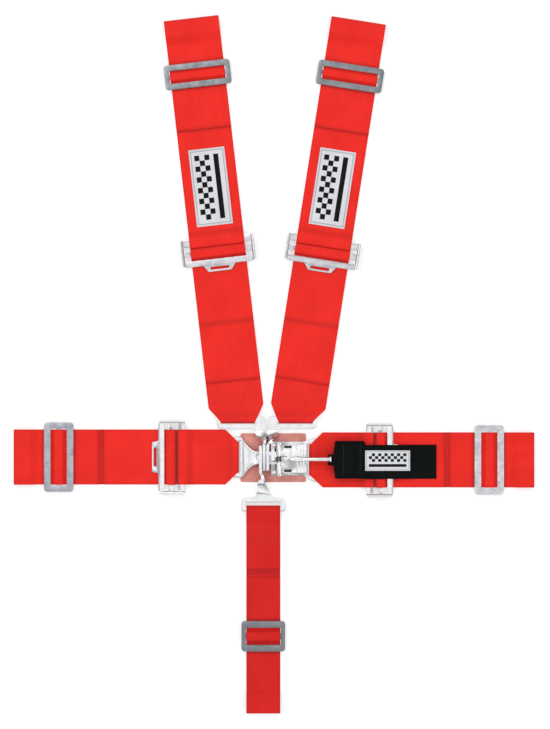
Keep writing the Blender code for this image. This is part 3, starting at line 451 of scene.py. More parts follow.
def webbing_finish(name, dark, light, width, rib=0.0022, panel=0.0085, gloss=0.22, sheen=0.06):
    """Woven polyester webbing, with shade painted into its creases and the gaps between parts, and into its rib
    valleys and edge grooves through the weave's tone.
    """
    made, tree, shader, place = blank_finish(name, "weave")
    weave = placed(tree, WEAVE, place, Rib=rib, Panel=panel, Width=width)
    colour = tint(tree, weave["Tone"], dark, light)
    edged = tint(tree, calc(tree, "MULTIPLY", weave["Selvedge"], 0.35), colour, dark)
    # Painted shade: the colour darkens towards a fifth of its dark red where creases and gaps between parts fall in
    # shade
    painted_shade = tree.nodes.new("ShaderNodeAttribute")
    painted_shade.attribute_name = "painted_shade"
    painted_shade_colour = tuple(channel * 0.2 for channel in dark)
    feed(tree, shader, {
        "Base Color": tint(tree, painted_shade.outputs["Fac"], edged, painted_shade_colour),
        "Roughness": remap(tree, weave["Tone"], 0.0, 1.0, 0.72, 0.5),
        "Specular IOR Level": gloss,
        "Sheen Weight": sheen,
        "Sheen Roughness": 0.45,
    })
    relief(tree, shader, weave["Height"], 0.00022)
    return made


def metal_finish(name, bright, dull, polish, dullness, wave=0.00004):
    """Plated steel."""
    made, tree, shader, place = blank_finish(name, "object")
    plating = placed(tree, PLATING, place, Polish=polish, Dullness=dullness)
    feed(tree, shader, {
        "Base Color": tint(tree, plating["Tone"], bright, dull),
        "Roughness": plating["Roughness"],
        "Metallic": 1.0,
    })
    relief(tree, shader, plating["Height"], wave)
    return made


def leather_finish(name, dark, light):
    """Tanned leather with a fine pebbled grain."""
    made, tree, shader, place = blank_finish(name, "object")
    grain = placed(tree, GRAIN, place)
    feed(tree, shader, {
        "Base Color": tint(tree, grain["Tone"], dark, light),
        "Roughness": remap(tree, grain["Height"], 0.0, 1.0, 0.7, 0.5),
        "Specular IOR Level": 0.35,
    })
    relief(tree, shader, grain["Height"], 0.00012)
    return made


def thread_finish(name, dark, light):
    """Twisted sewing thread."""
    made, tree, shader, place = blank_finish(name, "object")
    twist = remap(tree, noise_at(tree, place, 1500.0, 2.0), 0.3, 0.7)
    feed(tree, shader, {"Base Color": tint(tree, twist, dark, light), "Roughness": 0.6})
    relief(tree, shader, twist, 0.00008)
    return made


def label_finish(name, length, width):
    """Woven label: satin ground, a thin border and a plain chequered band with a stripe. No lettering."""
    made, tree, shader, place = blank_finish(name, "weave")
    add, _, times = sums(tree)
    weave = placed(tree, WEAVE, place, Rib=0.0009, Panel=0.2, Width=1.0)
    spot = parts_of(tree, place)
    along = calc(tree, "DIVIDE", calc(tree, "ABSOLUTE", spot[0]), length / 2)
    across = calc(tree, "DIVIDE", spot[1], width / 2)

    def within(value, low, high):
        return times(calc(tree, "GREATER_THAN", value, low), calc(tree, "LESS_THAN", value, high))

    def counted(value, start, step):
        return calc(tree, "FLOOR", calc(tree, "DIVIDE", add(value, -start), step))

    inside = calc(tree, "LESS_THAN", along, PRINT_END)
    column = counted(calc(tree, "DIVIDE", spot[0], length / 2), -PRINT_END, CHECK[0])
    row = counted(across, CHECKED_BAND[0], CHECK[1])
    odd = calc(tree, "PINGPONG", add(column, row), 1.0)
    checks = times(within(across, *CHECKED_BAND), calc(tree, "GREATER_THAN", odd, 0.5))
    stripe = within(across, *STRIPE)
    ink = times(inside, calc(tree, "MAXIMUM", checks, stripe))
    brim = calc(tree, "MAXIMUM", within(along, 0.93, 0.96), within(calc(tree, "ABSOLUTE", across), 0.86, 0.92))
    bordered = calc(tree, "LESS_THAN", calc(tree, "MAXIMUM", along, calc(tree, "ABSOLUTE", across)), 0.96)
    border = times(times(brim, bordered), 0.45)
    # The weave's tone paints shade into the ground's rib valleys
    ground = tint(tree, weave["Tone"], (0.50, 0.51, 0.53), (0.80, 0.81, 0.84))
    ground = tint(tree, border, ground, (0.10, 0.10, 0.11))
    feed(tree, shader, {
        "Base Color": tint(tree, ink, ground, (0.003, 0.003, 0.004)),
        "Roughness": 0.55,
        "Specular IOR Level": 0.12,
    })
    relief(tree, shader, weave["Height"], 0.00008)
    return made


RED_DARK, RED_LIGHT = (0.60, 0.008, 0.005), (0.99, 0.022, 0.012)
RED = webbing_finish("red_webbing", RED_DARK, RED_LIGHT, LAP_WIDTH)
CROTCH_RED = webbing_finish("crotch_webbing", (0.46, 0.005, 0.004), (0.80, 0.012, 0.009), CROTCH_WIDTH)
BLACK = webbing_finish("black_webbing", (0.0015, 0.002, 0.002), (0.006, 0.008, 0.008), PULL_WIDTH, 0.0018, 0.006,
                       gloss=0.05, sheen=0.0)
CHROME = metal_finish("chrome", (0.80, 0.80, 0.82), (0.70, 0.70, 0.73), 0.12, 0.22, 0.00004)
LEVER_CHROME = metal_finish("lever_chrome", (0.90, 0.90, 0.91), (0.78, 0.78, 0.80), 0.14, 0.24, 0.00003)
SATIN_CHROME = metal_finish("satin_chrome", (0.66, 0.66, 0.69), (0.46, 0.46, 0.49), 0.16, 0.30, 0.00008)
# Painted shadow: near-black steel laid where the latch only has shade, under the hub and behind the lever's slots
SHADOWED = metal_finish("painted_shadow_steel", (0.10, 0.10, 0.105), (0.05, 0.05, 0.052), 0.45, 0.6, 0.00006)
ZINC = metal_finish("zinc_steel", (0.27, 0.29, 0.31), (0.15, 0.165, 0.18), 0.28, 0.46, 0.00012)
LAP_ZINC = metal_finish("lap_zinc_steel", (0.50, 0.51, 0.56), (0.27, 0.28, 0.32), 0.26, 0.44, 0.00012)
BRIGHT_ZINC = metal_finish("bright_zinc_steel", (0.72, 0.73, 0.75), (0.40, 0.41, 0.43), 0.24, 0.40, 0.00012)
SPRING = metal_finish("spring_steel", (0.20, 0.20, 0.21), (0.08, 0.08, 0.09), 0.22, 0.4)
LEATHER = leather_finish("leather", (0.50, 0.15, 0.12), (0.78, 0.35, 0.30))
LABEL = label_finish("shoulder_label", *SHOULDER_LABEL)
TAB_LABEL = label_finish("tab_label", PULL_LABEL[1] - PULL_LABEL[0], PULL_LABEL_WIDTH)
RED_THREAD = thread_finish("red_thread", (0.45, 0.01, 0.009), (0.75, 0.03, 0.025))
BLACK_THREAD = thread_finish("black_thread", (0.005, 0.005, 0.006), (0.03, 0.03, 0.032))
TAN_THREAD = thread_finish("tan_thread", (0.42, 0.16, 0.10), (0.68, 0.33, 0.22))


# ---------------------------------------------------------------- making pieces


def show(name, mesh, finish, body=None, nodes=()):
    """A finished piece at the origin, riding on its CAD body."""
    title = f"finished_{name}" if nodes else name
    piece = bpy.data.objects.new(title, mesh)
    bpy.context.scene.collection.objects.link(piece)
    mesh.materials.clear()
    mesh.materials.append(finish)
    mesh.name = title
    if body:
        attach(piece, body)
    if nodes:
        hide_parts(*nodes)
    return piece


def as_mesh(bm):
    """The bmesh as a smooth-shaded mesh."""
    mesh = bpy.data.meshes.new("blank")
    bm.to_mesh(mesh)
    bm.free()
    mesh.shade_smooth()
    return mesh


def settled(mesh, add_modifiers):
    """The mesh with modifiers applied."""
    holder = bpy.data.objects.new("holder", mesh)
    bpy.context.scene.collection.objects.link(holder)
    add_modifiers(holder)
    depsgraph = bpy.context.evaluated_depsgraph_get()
    done = bpy.data.meshes.new_from_object(holder.evaluated_get(depsgraph))
    bpy.data.objects.remove(holder, do_unlink=True)
    return done


def fused(mesh, *steps):
    """A mesh with others united to it or cut from it. Each step is an operation and its mesh."""
    tools = []

    def join(holder):
        for operation, other in steps:
            tool = bpy.data.objects.new("tool", other)
            bpy.context.scene.collection.objects.link(tool)
            tools.append(tool)
            cut = holder.modifiers.new("cut", "BOOLEAN")
            cut.operation = operation
            cut.solver = "EXACT"
            cut.object = tool

    done = settled(mesh, join)
    for tool in tools:
        bpy.data.objects.remove(tool, do_unlink=True)
    bm = bmesh.new()
    bm.from_mesh(done)
    bmesh.ops.remove_doubles(bm, verts=bm.verts, dist=MERGE)
    bmesh.ops.dissolve_degenerate(bm, edges=bm.edges, dist=MERGE)
    return as_mesh(bm)


def eased(mesh, width, segments=3, angle=32.0):
    """The mesh with its sharp edges rounded."""

    def soften(holder):
        round_off = holder.modifiers.new("edges", "BEVEL")
        round_off.width = width
        round_off.segments = segments
        round_off.limit_method = "ANGLE"
        round_off.angle_limit = math.radians(angle)
        round_off.use_clamp_overlap = True
        round_off.miter_outer = "MITER_ARC"

    done = settled(mesh, soften)
    done.shade_smooth()
    done.set_sharp_from_angle(angle=math.radians(38))
    return done


def smooth(value):
    """0 to 1 with level ends."""
    part = min(max(value, 0.0), 1.0)
    return part * part * (3 - 2 * part)


def spread(start, end, count):
    """Evenly spaced values, ends included."""
    return [start + (end - start) * i / (count - 1) for i in range(count)]


def rounded(points, radius=0.0, closed=False):
    """A polyline whose corners become arcs. A point's own third number is its radius."""
    corners = [(Vector(p[:2]), p[2] if len(p) > 2 else radius) for p in points]
    count = len(corners)
    route = []
    for i, (corner, size) in enumerate(corners):
        before = corners[i - 1][0] - corner
        after = corners[(i + 1) % count][0] - corner
        at_end = not closed and i in (0, count - 1)
        turn = 0.0 if at_end else math.pi - before.angle(after)
        if size <= 0 or turn < 0.001:
            route.append(corner)
            continue
        reach = min(size * math.tan(turn / 2), before.length * 0.48, after.length * 0.48)
        start = before.normalized() * reach
        inward = (before.normalized() + after.normalized()).normalized()
        middle = inward * (reach / math.sin(turn / 2))
        way = math.copysign(turn, (-before).cross(after))
        steps = max(2, round(turn / ARC_STEP))
        for step in range(steps + 1):
            route.append(corner + middle + Matrix.Rotation(way * step / steps, 2) @ (start - middle))
    return route


def box_outline(low, high, radius=0.0):
    """A rectangle between two corners, with round corners."""
    corners = [(low[0], low[1]), (high[0], low[1]), (high[0], high[1]), (low[0], high[1])]
    return rounded(corners, radius, closed=True)


def plate(outlines, thick, low):
    """A flat plate with its underside at this height. The first outline is its rim, the others holes."""
    bm = bmesh.new()
    for outline in outlines:
        ring = [bm.verts.new((place[0], place[1], low)) for place in outline]
        for first, second in zip(ring, ring[1:] + ring[:1]):
            bm.edges.new((first, second))
    bmesh.ops.triangle_fill(bm, use_beauty=True, edges=bm.edges[:], normal=(0.0, 0.0, 1.0))
    grown = bmesh.ops.extrude_face_region(bm, geom=bm.faces[:])
    risen = [item for item in grown["geom"] if isinstance(item, bmesh.types.BMVert)]
    bmesh.ops.translate(bm, verts=risen, vec=(0.0, 0.0, thick))
    bmesh.ops.recalc_face_normals(bm, faces=bm.faces)
    return as_mesh(bm)


def box(low, high):
    """A plain box mesh between two corners, as a tool for a cut or a joint."""
    bm = bmesh.new()
    size = [b - a for a, b in zip(low, high)]
    middle = [(a + b) / 2 for a, b in zip(low, high)]
    bmesh.ops.create_cube(bm, size=1.0, matrix=Matrix.LocRotScale(middle, None, size))
    return as_mesh(bm)


def rod(start, end, radius, end_radius=None, sides=40):
    """A cylinder or cone mesh between two points."""
    bm = bmesh.new()
    start, end = Vector(start), Vector(end)
    turn = (end - start).to_track_quat("Z", "Y")
    bmesh.ops.create_cone(
        bm, cap_ends=True, segments=sides, radius1=radius,
        radius2=radius if end_radius is None else end_radius, depth=(end - start).length,
        matrix=Matrix.LocRotScale((start + end) / 2, turn, None),
    )
    return as_mesh(bm)


def ball(centre, scale, sides=36):
    """An ellipsoid mesh."""
    bm = bmesh.new()
    matrix = Matrix.LocRotScale(centre, None, scale)
    bmesh.ops.create_uvsphere(bm, u_segments=sides, v_segments=sides // 2, radius=1.0, matrix=matrix)
    return as_mesh(bm)


def tube(points, radius, sides=10):
    """A round bar mesh along a line of points, with closed ends."""
    bm = bmesh.new()
    points = [Vector(p) for p in points]
    rings = []
    across = (points[1] - points[0]).orthogonal().normalized()
    for i, place in enumerate(points):
        run = (points[min(i + 1, len(points) - 1)] - points[max(i - 1, 0)]).normalized()
        across = (across - run * across.dot(run)).normalized()
        turn = Matrix((across, run.cross(across), run)).transposed().to_4x4()
        matrix = Matrix.Translation(place) @ turn
        made = bmesh.ops.create_circle(bm, cap_ends=i in (0, len(points) - 1), segments=sides, radius=radius,
                                       matrix=matrix)
        rings.append(made["verts"])
    for first, second in zip(rings, rings[1:]):
        edges = [e for ring in (first, second) for v in ring for e in v.link_edges if e.other_vert(v) in ring]
        bmesh.ops.bridge_loops(bm, edges=list(dict.fromkeys(edges)))
    bmesh.ops.recalc_face_normals(bm, faces=bm.faces)
    return as_mesh(bm)


def bent(mesh, axis, places, move):
    """Slice a mesh across an axis and move each corner by a rule."""
    bm = bmesh.new()
    bm.from_mesh(mesh)
    normal = Vector((0.0, 0.0, 0.0))
    normal[axis] = 1.0
    for place in places:
        everything = bm.verts[:] + bm.edges[:] + bm.faces[:]
        bmesh.ops.bisect_plane(bm, geom=everything, dist=0.0000005, plane_co=normal * place, plane_no=normal)
    for vert in bm.verts:
        vert.co = move(vert.co)
    bmesh.ops.recalc_face_normals(bm, faces=bm.faces)
    return as_mesh(bm)


def moved(mesh, matrix):
    """The mesh in its place."""
    mesh.transform(matrix)
    return mesh


def at(x, y, z=0.0, turn=0.0):
    """A place and a turn about the vertical."""
    return Matrix.Translation((x, y, z)) @ Matrix.Rotation(turn, 4, "Z")


# ---------------------------------------------------------------- webbing


def level(number):
    """Height of the middle of the webbing in this layer, the first lying on the floor."""
    return WEB_THICK / 2 + (number - 1) * LAYER


def walk(route, step=RUN_STEP):
    """A route with its long straights cut into steps, and the length reached at each point."""
    stations = [(0.0, route[0])]
    for before, after in zip(route, route[1:]):
        run = (after - before).length
        if run < MERGE:
            continue
        pieces = max(1, math.ceil(run / step))
        reached = stations[-1][0]
        for i in range(1, pieces + 1):
            stations.append((reached + run * i / pieces, before.lerp(after, i / pieces)))
    return stations


def across_places(count=22):
    """Columns over a webbing's width from -1 to 1, close together at its rounded edges."""
    inner = spread(-0.965, 0.965, count)
    return [-1.0, -0.988, *inner, 0.988, 1.0]


def painted_shade_at(distance, painted_shades):
    """How much painted shade darkens the webbing at this distance along its strap."""
    shades = [depth * math.exp(-(((distance - where) / reach) ** 2)) for where, reach, depth in painted_shades]
    return max(shades, default=0.0)


def ribbon(route, width_at, place, lean=0.0, side_at=None, thick=WEB_THICK, start=0.0, soft_ends=False,
           painted_shades=()):
    """Webbing along a route of distance and height, with rounded edges and a map in metres.

    Each painted shade is where it lies along the strap, its reach and its depth: shade painted into the colour
    where the webbing creases, wraps a bar or meets other parts.
    """
    stations = walk(route)
    columns = across_places()
    bm = bmesh.new()
    bm.loops.layers.uv.new("weave")
    shape = bm.verts.layers.deform.verify()
    shade = bm.verts.layers.float.new("painted_shade")
    bmesh.ops.create_grid(bm, x_segments=len(stations) - 1, y_segments=len(columns) - 1, size=1.0)
    spots = {}
    for vert in bm.verts:
        i = round((vert.co.x + 1) / 2 * (len(stations) - 1))
        j = round((vert.co.y + 1) / 2 * (len(columns) - 1))
        reached, spot = stations[i]
        skew = lean * (1 - smooth(spot[0] / SKEW_RUN))
        out = columns[j] * width_at(spot[0]) / 2
        side = side_at(spot[0]) if side_at else 0.0
        edge = 1 - abs(columns[j])
        end = min(i, len(stations) - 1 - i)
        spots[vert] = (start + reached, out)
        vert.co = (spot[0] + out * math.sin(skew), side + out * math.cos(skew), spot[1])
        fullness = 0.5 if edge < 0.001 else 0.84 if edge < 0.015 else 1.0
        if soft_ends and end < 3:
            fullness *= (0.25, 0.5, 0.8)[end]
        vert[shape][0] = fullness
        # Painted shade where the webbing creases or meets other parts, kept on each corner for its finish
        vert[shade] = painted_shade_at(spot[0], painted_shades)
    chart = bm.loops.layers.uv["weave"]
    for face in bm.faces:
        for loop in face.loops:
            loop[chart].uv = spots[loop.vert]
    mesh = as_mesh(bm)

    def thicken(holder):
        holder.vertex_groups.new(name="fullness")
        shell = holder.modifiers.new("thickness", "SOLIDIFY")
        shell.thickness = thick
        shell.offset = 0.0
        shell.use_even_offset = True
        shell.vertex_group = "fullness"

    done = settled(mesh, thicken)
    done.shade_smooth()
    done.set_sharp_from_angle(angle=math.radians(60))
    return moved(done, place)


def length_of(route):
    """Length of a route."""
    return sum((b - a).length for a, b in zip(route, route[1:]))


def tapering(full, end, run):
    """Width of a strap whose corners are folded in towards its link, steady where it wraps the bar."""
    return lambda s: end + (full - end) * min(max((s - LAYER) / (run - LAYER), 0.0), 1.0)


def steady(width):
    """Width of a strap that doesn't taper."""
    return lambda s: width


def fold_round_link(bar_low, bar_thick, inner, outer):
    """Webbing in from one layer, round a link's bar, and out in another."""
    over = bar_low + bar_thick + HUG
    under = bar_low - HUG
    near = WEB_THICK / 2
    return [
        (0.026, level(outer), 0.008),
        (0.0105, over, 0.006),
        (near, over, HUG),
        (near, under, HUG),
        (0.0105, under, 0.006),
        (0.022, level(inner), 0.008),
    ]


def hump(slide, layer):
    """Webbing over a three-bar slide's middle bar, from under one outer bar to under the other."""
    middle_bar, thick = slide[4], slide[5]
    extra = (layer - 1) * LAYER
    low = SLIDE_LOW - GAP / 2
    high = SLIDE_LOW + thick + HUG + extra
    half = middle_bar / 2 + (HUG + extra) * math.tan(HUMP_SLOPE / 2) + 0.0002
    foot = half + (high - low) / math.tan(HUMP_SLOPE)
    end = foot + 0.003
    return [(-end, low), (-foot, low, 0.0012), (-half, high, 0.0014), (half, high, 0.0014), (foot, low, 0.0012),
            (end, low)]


def anchor_loop(end):
    """Webbing out along the floor, round the bight and back to the second layer."""
    high = level(1) + WEB_THICK + LOOP_HEIGHT
    bight = end - WEB_THICK / 2
    turn = (high - level(1)) * 0.46
    return [
        (bight, level(1), turn),
        (bight, high, turn),
        (end - LOOP_DEPTH, high, 0.010),
        (end - LOOP_DEPTH - 0.012, level(2), 0.010),
    ]


def rear_wrap(bar_at, way, floor_first):
    """Webbing round an adjuster's rear bar. It comes from the side that way points away from."""
    top = SLIDE_LOW + FRAME_THICK + HUG
    far = REAR_BAR / 2 + HUG + PUFF
    near = REAR_BAR / 2 + WEB_THICK
    points = [
        (bar_at - way * (near + 0.0085), level(1), 0.006),
        (bar_at - way * (near + 0.0015), level(2), 0.006),
        (bar_at + way * far, level(2), HUG),
        (bar_at + way * far, top, HUG),
        (bar_at - way * near, top, 0.004),
        (bar_at - way * (near + 0.0115), level(2), 0.008),
    ]
    return points if floor_first else points[::-1]


def slider_wrap(slider_at, way, floor_first):
    """Webbing round an adjuster's slider bar. It comes from the side of the front bar, at way."""
    top = SLIDER_TOP + HUG
    reach = SLIDER_SIZE[0] / 2 + HUG + PUFF
    points = [
        (slider_at - way * reach, level(1), 0.003),
        (slider_at - way * reach, top, 0.0016),
        (slider_at + way * reach, top, 0.0016),
        (slider_at + way * reach, level(2), 0.0011),
    ]
    return points if floor_first else points[::-1]


def stitching(name, rows, place, finish, body, pitch=0.0031):
    """Rows of stitches. Each row is a start, an end and a height."""
    bm = bmesh.new()
    for start, end, high in rows:
        start, end = Vector((*start, high)), Vector((*end, high))
        run = end - start
        count = max(1, round(run.length / pitch))
        turn = Matrix.Rotation(math.atan2(run.y, run.x), 4, "Z")
        for i in range(count):
            spot = start + run * (i + 0.5) / count
            matrix = Matrix.Translation(spot) @ turn @ Matrix.Diagonal((pitch * STITCH_SHARE, *STITCH, 1.0))
            bmesh.ops.create_uvsphere(bm, u_segments=8, v_segments=5, radius=1.0, matrix=matrix)
    return show(name, moved(as_mesh(bm), place), finish, body)


def box_stitch(start, end, half, high, zigzags=3):
    """A sewn box across the webbing with a zigzag between its sides."""
    rows = [((start, -half), (start, half), high), ((start, half), (end, half), high),
            ((end, half), (end, -half), high), ((end, -half), (start, -half), high)]
    turns = spread(-half, half, 2 * zigzags + 1)
    for i, (low, top) in enumerate(zip(turns, turns[1:])):
        near, far = (start, end) if i % 2 == 0 else (end, start)
        rows.append(((near, low), (far, top), high))
    return rows


def fold_stitching(side, half, place, body, zigzags=3):
    """The sewn box that closes a strap's fold round its link."""
    rows = box_stitch(*FOLD_BOX, half, level(2) + WEB_THICK / 2, zigzags)
    return stitching(f"{side}_fold_stitching", rows, place, RED_THREAD, body)


def strap_humps(side, slide, slide_at, width, finish, place, body):
    """The two layers of webbing that pass over a slide's middle bar, which travel with it."""
    humps = []
    for layer, label in ((1, "inner"), (2, "outer")):
        route = rounded(hump(slide, layer))
        mesh = ribbon(route, steady(width), place @ at(slide_at, 0.0), start=slide_at, soft_ends=True)
        humps.append(show(f"{side}_{label}_fold_over_slide", mesh, finish, body))
    return humps


def lap_strap(side, body, fold, turn, bar_thick):
    """Inner webbing from the link to the rear bar, outer webbing from the slider bar to the anchor."""
    place = at(*fold, 0.0, turn)
    rear = LAP_REAR_BAR_AT[side]
    width = tapering(LAP_WIDTH, LAP_FOLD_WIDTH, LAP_TAPER)
    inner = rounded([
        (0.0405, level(1)),
        *rear_wrap(rear, 1, True),
        *fold_round_link(LINK_LOW, bar_thick, 1, 2),
        (0.0395, level(1)),
    ])
    node = f"{side}_lap_inner_webbing"
    gap_at = rear + REAR_BAR / 2 + 0.0028
    # Painted shade on the inner webbing: where, reach and depth along the strap
    painted_shades = [
        (0.0, 0.003, 0.35),  # round the link's bar
        (0.012, 0.006, 0.16),  # past the link
        (gap_at, 0.0022, 0.8),  # between the rear bar and the slider bar
        (rear - 0.010, 0.004, 0.2),  # where it drops from the rear bar
    ]
    lining = show(node, ribbon(inner, width, place, painted_shades=painted_shades), RED, None, [node])
    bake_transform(lining)
    sewn = fold_stitching(f"{side}_lap", LAP_WIDTH / 2 - 0.006, place, body)
    outer = rounded([
        (LAP_TAIL_END, level(2)),
        *slider_wrap(rear + SLIDER_AT, 1, False),
        *anchor_loop(LAP_LENGTH),
        (LAP_WRAP_END, level(2)),
    ])
    node = f"{side}_lap_outer_webbing"
    slide_half = LAP_SLIDE[0] / 2
    # Painted shade on the outer webbing: where, reach and depth along the strap
    painted_shades = [
        (gap_at, 0.0022, 0.75),  # between the rear bar and the slider bar
        (LAP_TAIL_END + 0.004, 0.005, 0.34),  # past the tail's end
        (LAP_SLIDE_AT - slide_half, 0.0035, 0.4),  # beside the slide
        (LAP_SLIDE_AT + slide_half, 0.0035, 0.4),
        (LAP_LENGTH - 0.001, 0.002, 0.2),  # at the bight
    ]
    mesh = ribbon(outer, steady(LAP_WIDTH), place, painted_shades=painted_shades)
    runner = show(node, mesh, RED, None, [node])
    slide_body = f"{side}_lap_three_bar_slide"
    humps = strap_humps(f"{side}_lap", LAP_SLIDE, LAP_SLIDE_AT, LAP_WIDTH, RED, place, slide_body)
    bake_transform(runner)
    adjuster(f"{side}_lap", place @ at(rear, 0.0, FRAME_MID))
    plated = BRIGHT_ZINC if side == "right" else LAP_ZINC
    three_bar_slide(f"{side}_lap", LAP_SLIDE, place @ at(LAP_SLIDE_AT, 0.0), plated)


def shoulder_strap(side, fold, lean):
    """Lower webbing from the link to the slider bar, upper webbing from the rear bar to the anchor."""
    body = f"{side}_shoulder"
    place = at(*fold, 0.0, math.pi / 2 + lean)
    width = tapering(SHOULDER_WIDTH, SHOULDER_FOLD_WIDTH, SHOULDER_TAPER)
    rear = SHOULDER_REAR_BAR_AT
    lower = rounded([
        (SHOULDER_TURN_BACK_END, level(2)),
        *fold_round_link(LINK_LOW, LINK_THICK, 1, 2),
        *slider_wrap(rear - SLIDER_AT, -1, True),
        (SHOULDER_TURN_BACK_END + 0.012, level(2), 0.006),
        (SHOULDER_TURN_BACK_END + 0.003, level(3), 0.006),
        (SHOULDER_TAIL_END, level(3)),
    ])
    node = f"{side}_shoulder_lower_webbing"
    gap_at = rear - REAR_BAR / 2 - 0.0028
    # Painted shade on the lower webbing: where, reach and depth along the strap
    painted_shades = [
        (0.0, 0.004, 0.5),  # round the link's bar
        (0.012, 0.006, 0.16),  # past the link
        (SHOULDER_TAIL_END, 0.003, 0.30),  # at the tail's end
        (SHOULDER_TURN_BACK_END + 0.004, 0.0035, 0.3),  # past the end of the layer below
        (gap_at, 0.0022, 0.25),  # between the rear bar and the slider bar
    ]
    mesh = ribbon(lower, width, place, lean, painted_shades=painted_shades)
    runner = show(node, mesh, RED, None, [node])
    sewn = fold_stitching(f"{side}_shoulder", SHOULDER_WIDTH / 2 - 0.006, place, body)
    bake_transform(runner)
    upper = rounded([
        (SHOULDER_REAR_TURN_END, level(1)),
        *rear_wrap(rear, -1, True),
        (SHOULDER_REAR_TURN_END + 0.002, level(2), 0.006),
        (SHOULDER_REAR_TURN_END + 0.010, level(1), 0.006),
        *anchor_loop(SHOULDER_LENGTH),
        (SHOULDER_WRAP_END, level(2)),
    ])
    node = f"{side}_shoulder_upper_webbing"
    slide_half = SHOULDER_SLIDE[0] / 2
    # Painted shade on the upper webbing: beside the bars, at the wrap's end, beside the slide and at the bight
    painted_shades = [(gap_at, 0.0022, 0.25), (rear + 0.012, 0.004, 0.2), (SHOULDER_WRAP_END, 0.0028, 0.36),
             (SHOULDER_SLIDE_AT - slide_half, 0.0035, 0.45), (SHOULDER_SLIDE_AT + slide_half, 0.0035, 0.3),
             (SHOULDER_LENGTH - 0.001, 0.002, 0.2)]
    mesh = ribbon(upper, steady(SHOULDER_WIDTH), place, painted_shades=painted_shades)
    hanger = show(node, mesh, RED, None, [node])
    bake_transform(hanger)
    slide_body = f"{side}_shoulder_three_bar_slide"
    humps = strap_humps(
        f"{side}_shoulder", SHOULDER_SLIDE, SHOULDER_SLIDE_AT, SHOULDER_WIDTH, RED, place, slide_body
    )
    length, breadth = SHOULDER_LABEL
    label_mid = level(2) + HUG + LABEL_THICK / 2
    flat = [Vector((-length / 2, label_mid)), Vector((length / 2, label_mid))]
    mesh = ribbon(flat, steady(breadth), at(SHOULDER_LABEL_AT, 0.0), thick=LABEL_THICK, start=-length / 2)
    node = f"{side}_shoulder_label"
    label = show(node, moved(mesh, place), LABEL, body, [node])
    edge_x, edge_y = length / 2 - 0.0012, breadth / 2 - 0.0012
    high = label_mid + LABEL_THICK / 2
    rows = [((SHOULDER_LABEL_AT - edge_x, -edge_y), (SHOULDER_LABEL_AT + edge_x, -edge_y), high),
            ((SHOULDER_LABEL_AT + edge_x, -edge_y), (SHOULDER_LABEL_AT + edge_x, edge_y), high),
            ((SHOULDER_LABEL_AT + edge_x, edge_y), (SHOULDER_LABEL_AT - edge_x, edge_y), high),
            ((SHOULDER_LABEL_AT - edge_x, edge_y), (SHOULDER_LABEL_AT - edge_x, -edge_y), high)]
    sewn = stitching(f"{side}_label_stitching", rows, place, LABEL_THREAD, body, pitch=0.0024)
    adjuster(f"{side}_shoulder", place @ at(rear, 0.0, FRAME_MID, math.pi))
    three_bar_slide(f"{side}_shoulder", SHOULDER_SLIDE, place @ at(SHOULDER_SLIDE_AT, 0.0), ZINC)


def crotch_strap(fold):
    """One webbing, sewn back round its link and looped round its anchor."""
    place = at(*fold, 0.0, -math.pi / 2)
    route = rounded([
        (CROTCH_TURN_BACK_END, level(2)),
        *fold_round_link(LINK_LOW, LINK_THICK, 1, 2),
        *anchor_loop(CROTCH_LENGTH),
        (CROTCH_WRAP_END, level(2)),
    ])
    slide_half = CROTCH_SLIDE[0] / 2
    # Painted shade on the crotch webbing: where, reach and depth along the strap
    painted_shades = [
        (0.0, 0.003, 0.3),  # round the link's bar
        (CROTCH_TURN_BACK_END + 0.004, 0.005, 0.3),  # past the end of the layer below
        (CROTCH_SLIDE_AT - slide_half, 0.0035, 0.4),  # beside the slide
        (CROTCH_SLIDE_AT + slide_half, 0.0035, 0.35),
    ]
    mesh = ribbon(route, steady(CROTCH_WIDTH), place, painted_shades=painted_shades)
    strap = show("crotch_webbing", mesh, CROTCH_RED, "crotch", ["crotch_webbing"])
    sewn = fold_stitching("crotch", CROTCH_WIDTH / 2 - 0.005, place, "crotch", 2)
    humps = strap_humps("crotch", CROTCH_SLIDE, CROTCH_SLIDE_AT, CROTCH_WIDTH, CROTCH_RED, place,
                        "crotch_three_bar_slide")
    three_bar_slide("crotch", CROTCH_SLIDE, place @ at(CROTCH_SLIDE_AT, 0.0), ZINC)


# ---------------------------------------------------------------- slides and adjusters


def three_bar_slide(side, slide, place, finish):
    """A stamped slide with two windows and rolled edges."""
    length, width, outer, end, middle, thick = slide
    half_length, half_width = length / 2, width / 2
    window = box_outline((middle / 2, -half_width + end), (half_length - outer, half_width - end), 0.0016)
    mirrored = [(-x, y) for x, y in window]
    rim = box_outline((-half_length, -half_width), (half_length, half_width), SLIDE_CORNER)
    mesh = eased(plate([rim, window, mirrored], thick, SLIDE_LOW), SLIDE_EDGE, 4)
    node = f"{side}_slide"
    show(node, moved(mesh, place), finish, f"{side}_three_bar_slide", [node])


def through_folds(distance, above, folds):
    """Where a point of a sheet goes, at this distance along it and this height above its middle.

    Each fold is its start along the sheet, its radius and its turn.
    """
    place, heading, reached = Vector((0.0, 0.0)), 0.0, 0.0
    for start, radius, turn in folds:
        if distance <= start:
            break
        along = Vector((math.cos(heading), math.sin(heading)))
        place += along * (start - reached)
        part = min(distance - start, radius * abs(turn))
        angle = math.copysign(part / radius, turn)
        middle = place + Vector((-along.y, along.x)) * math.copysign(radius, turn)
        place = middle + Matrix.Rotation(angle, 2) @ (place - middle)
        heading += angle
        reached = start + part
    along = Vector((math.cos(heading), math.sin(heading)))
    return place + along * (distance - reached) + Vector((-along.y, along.x)) * above


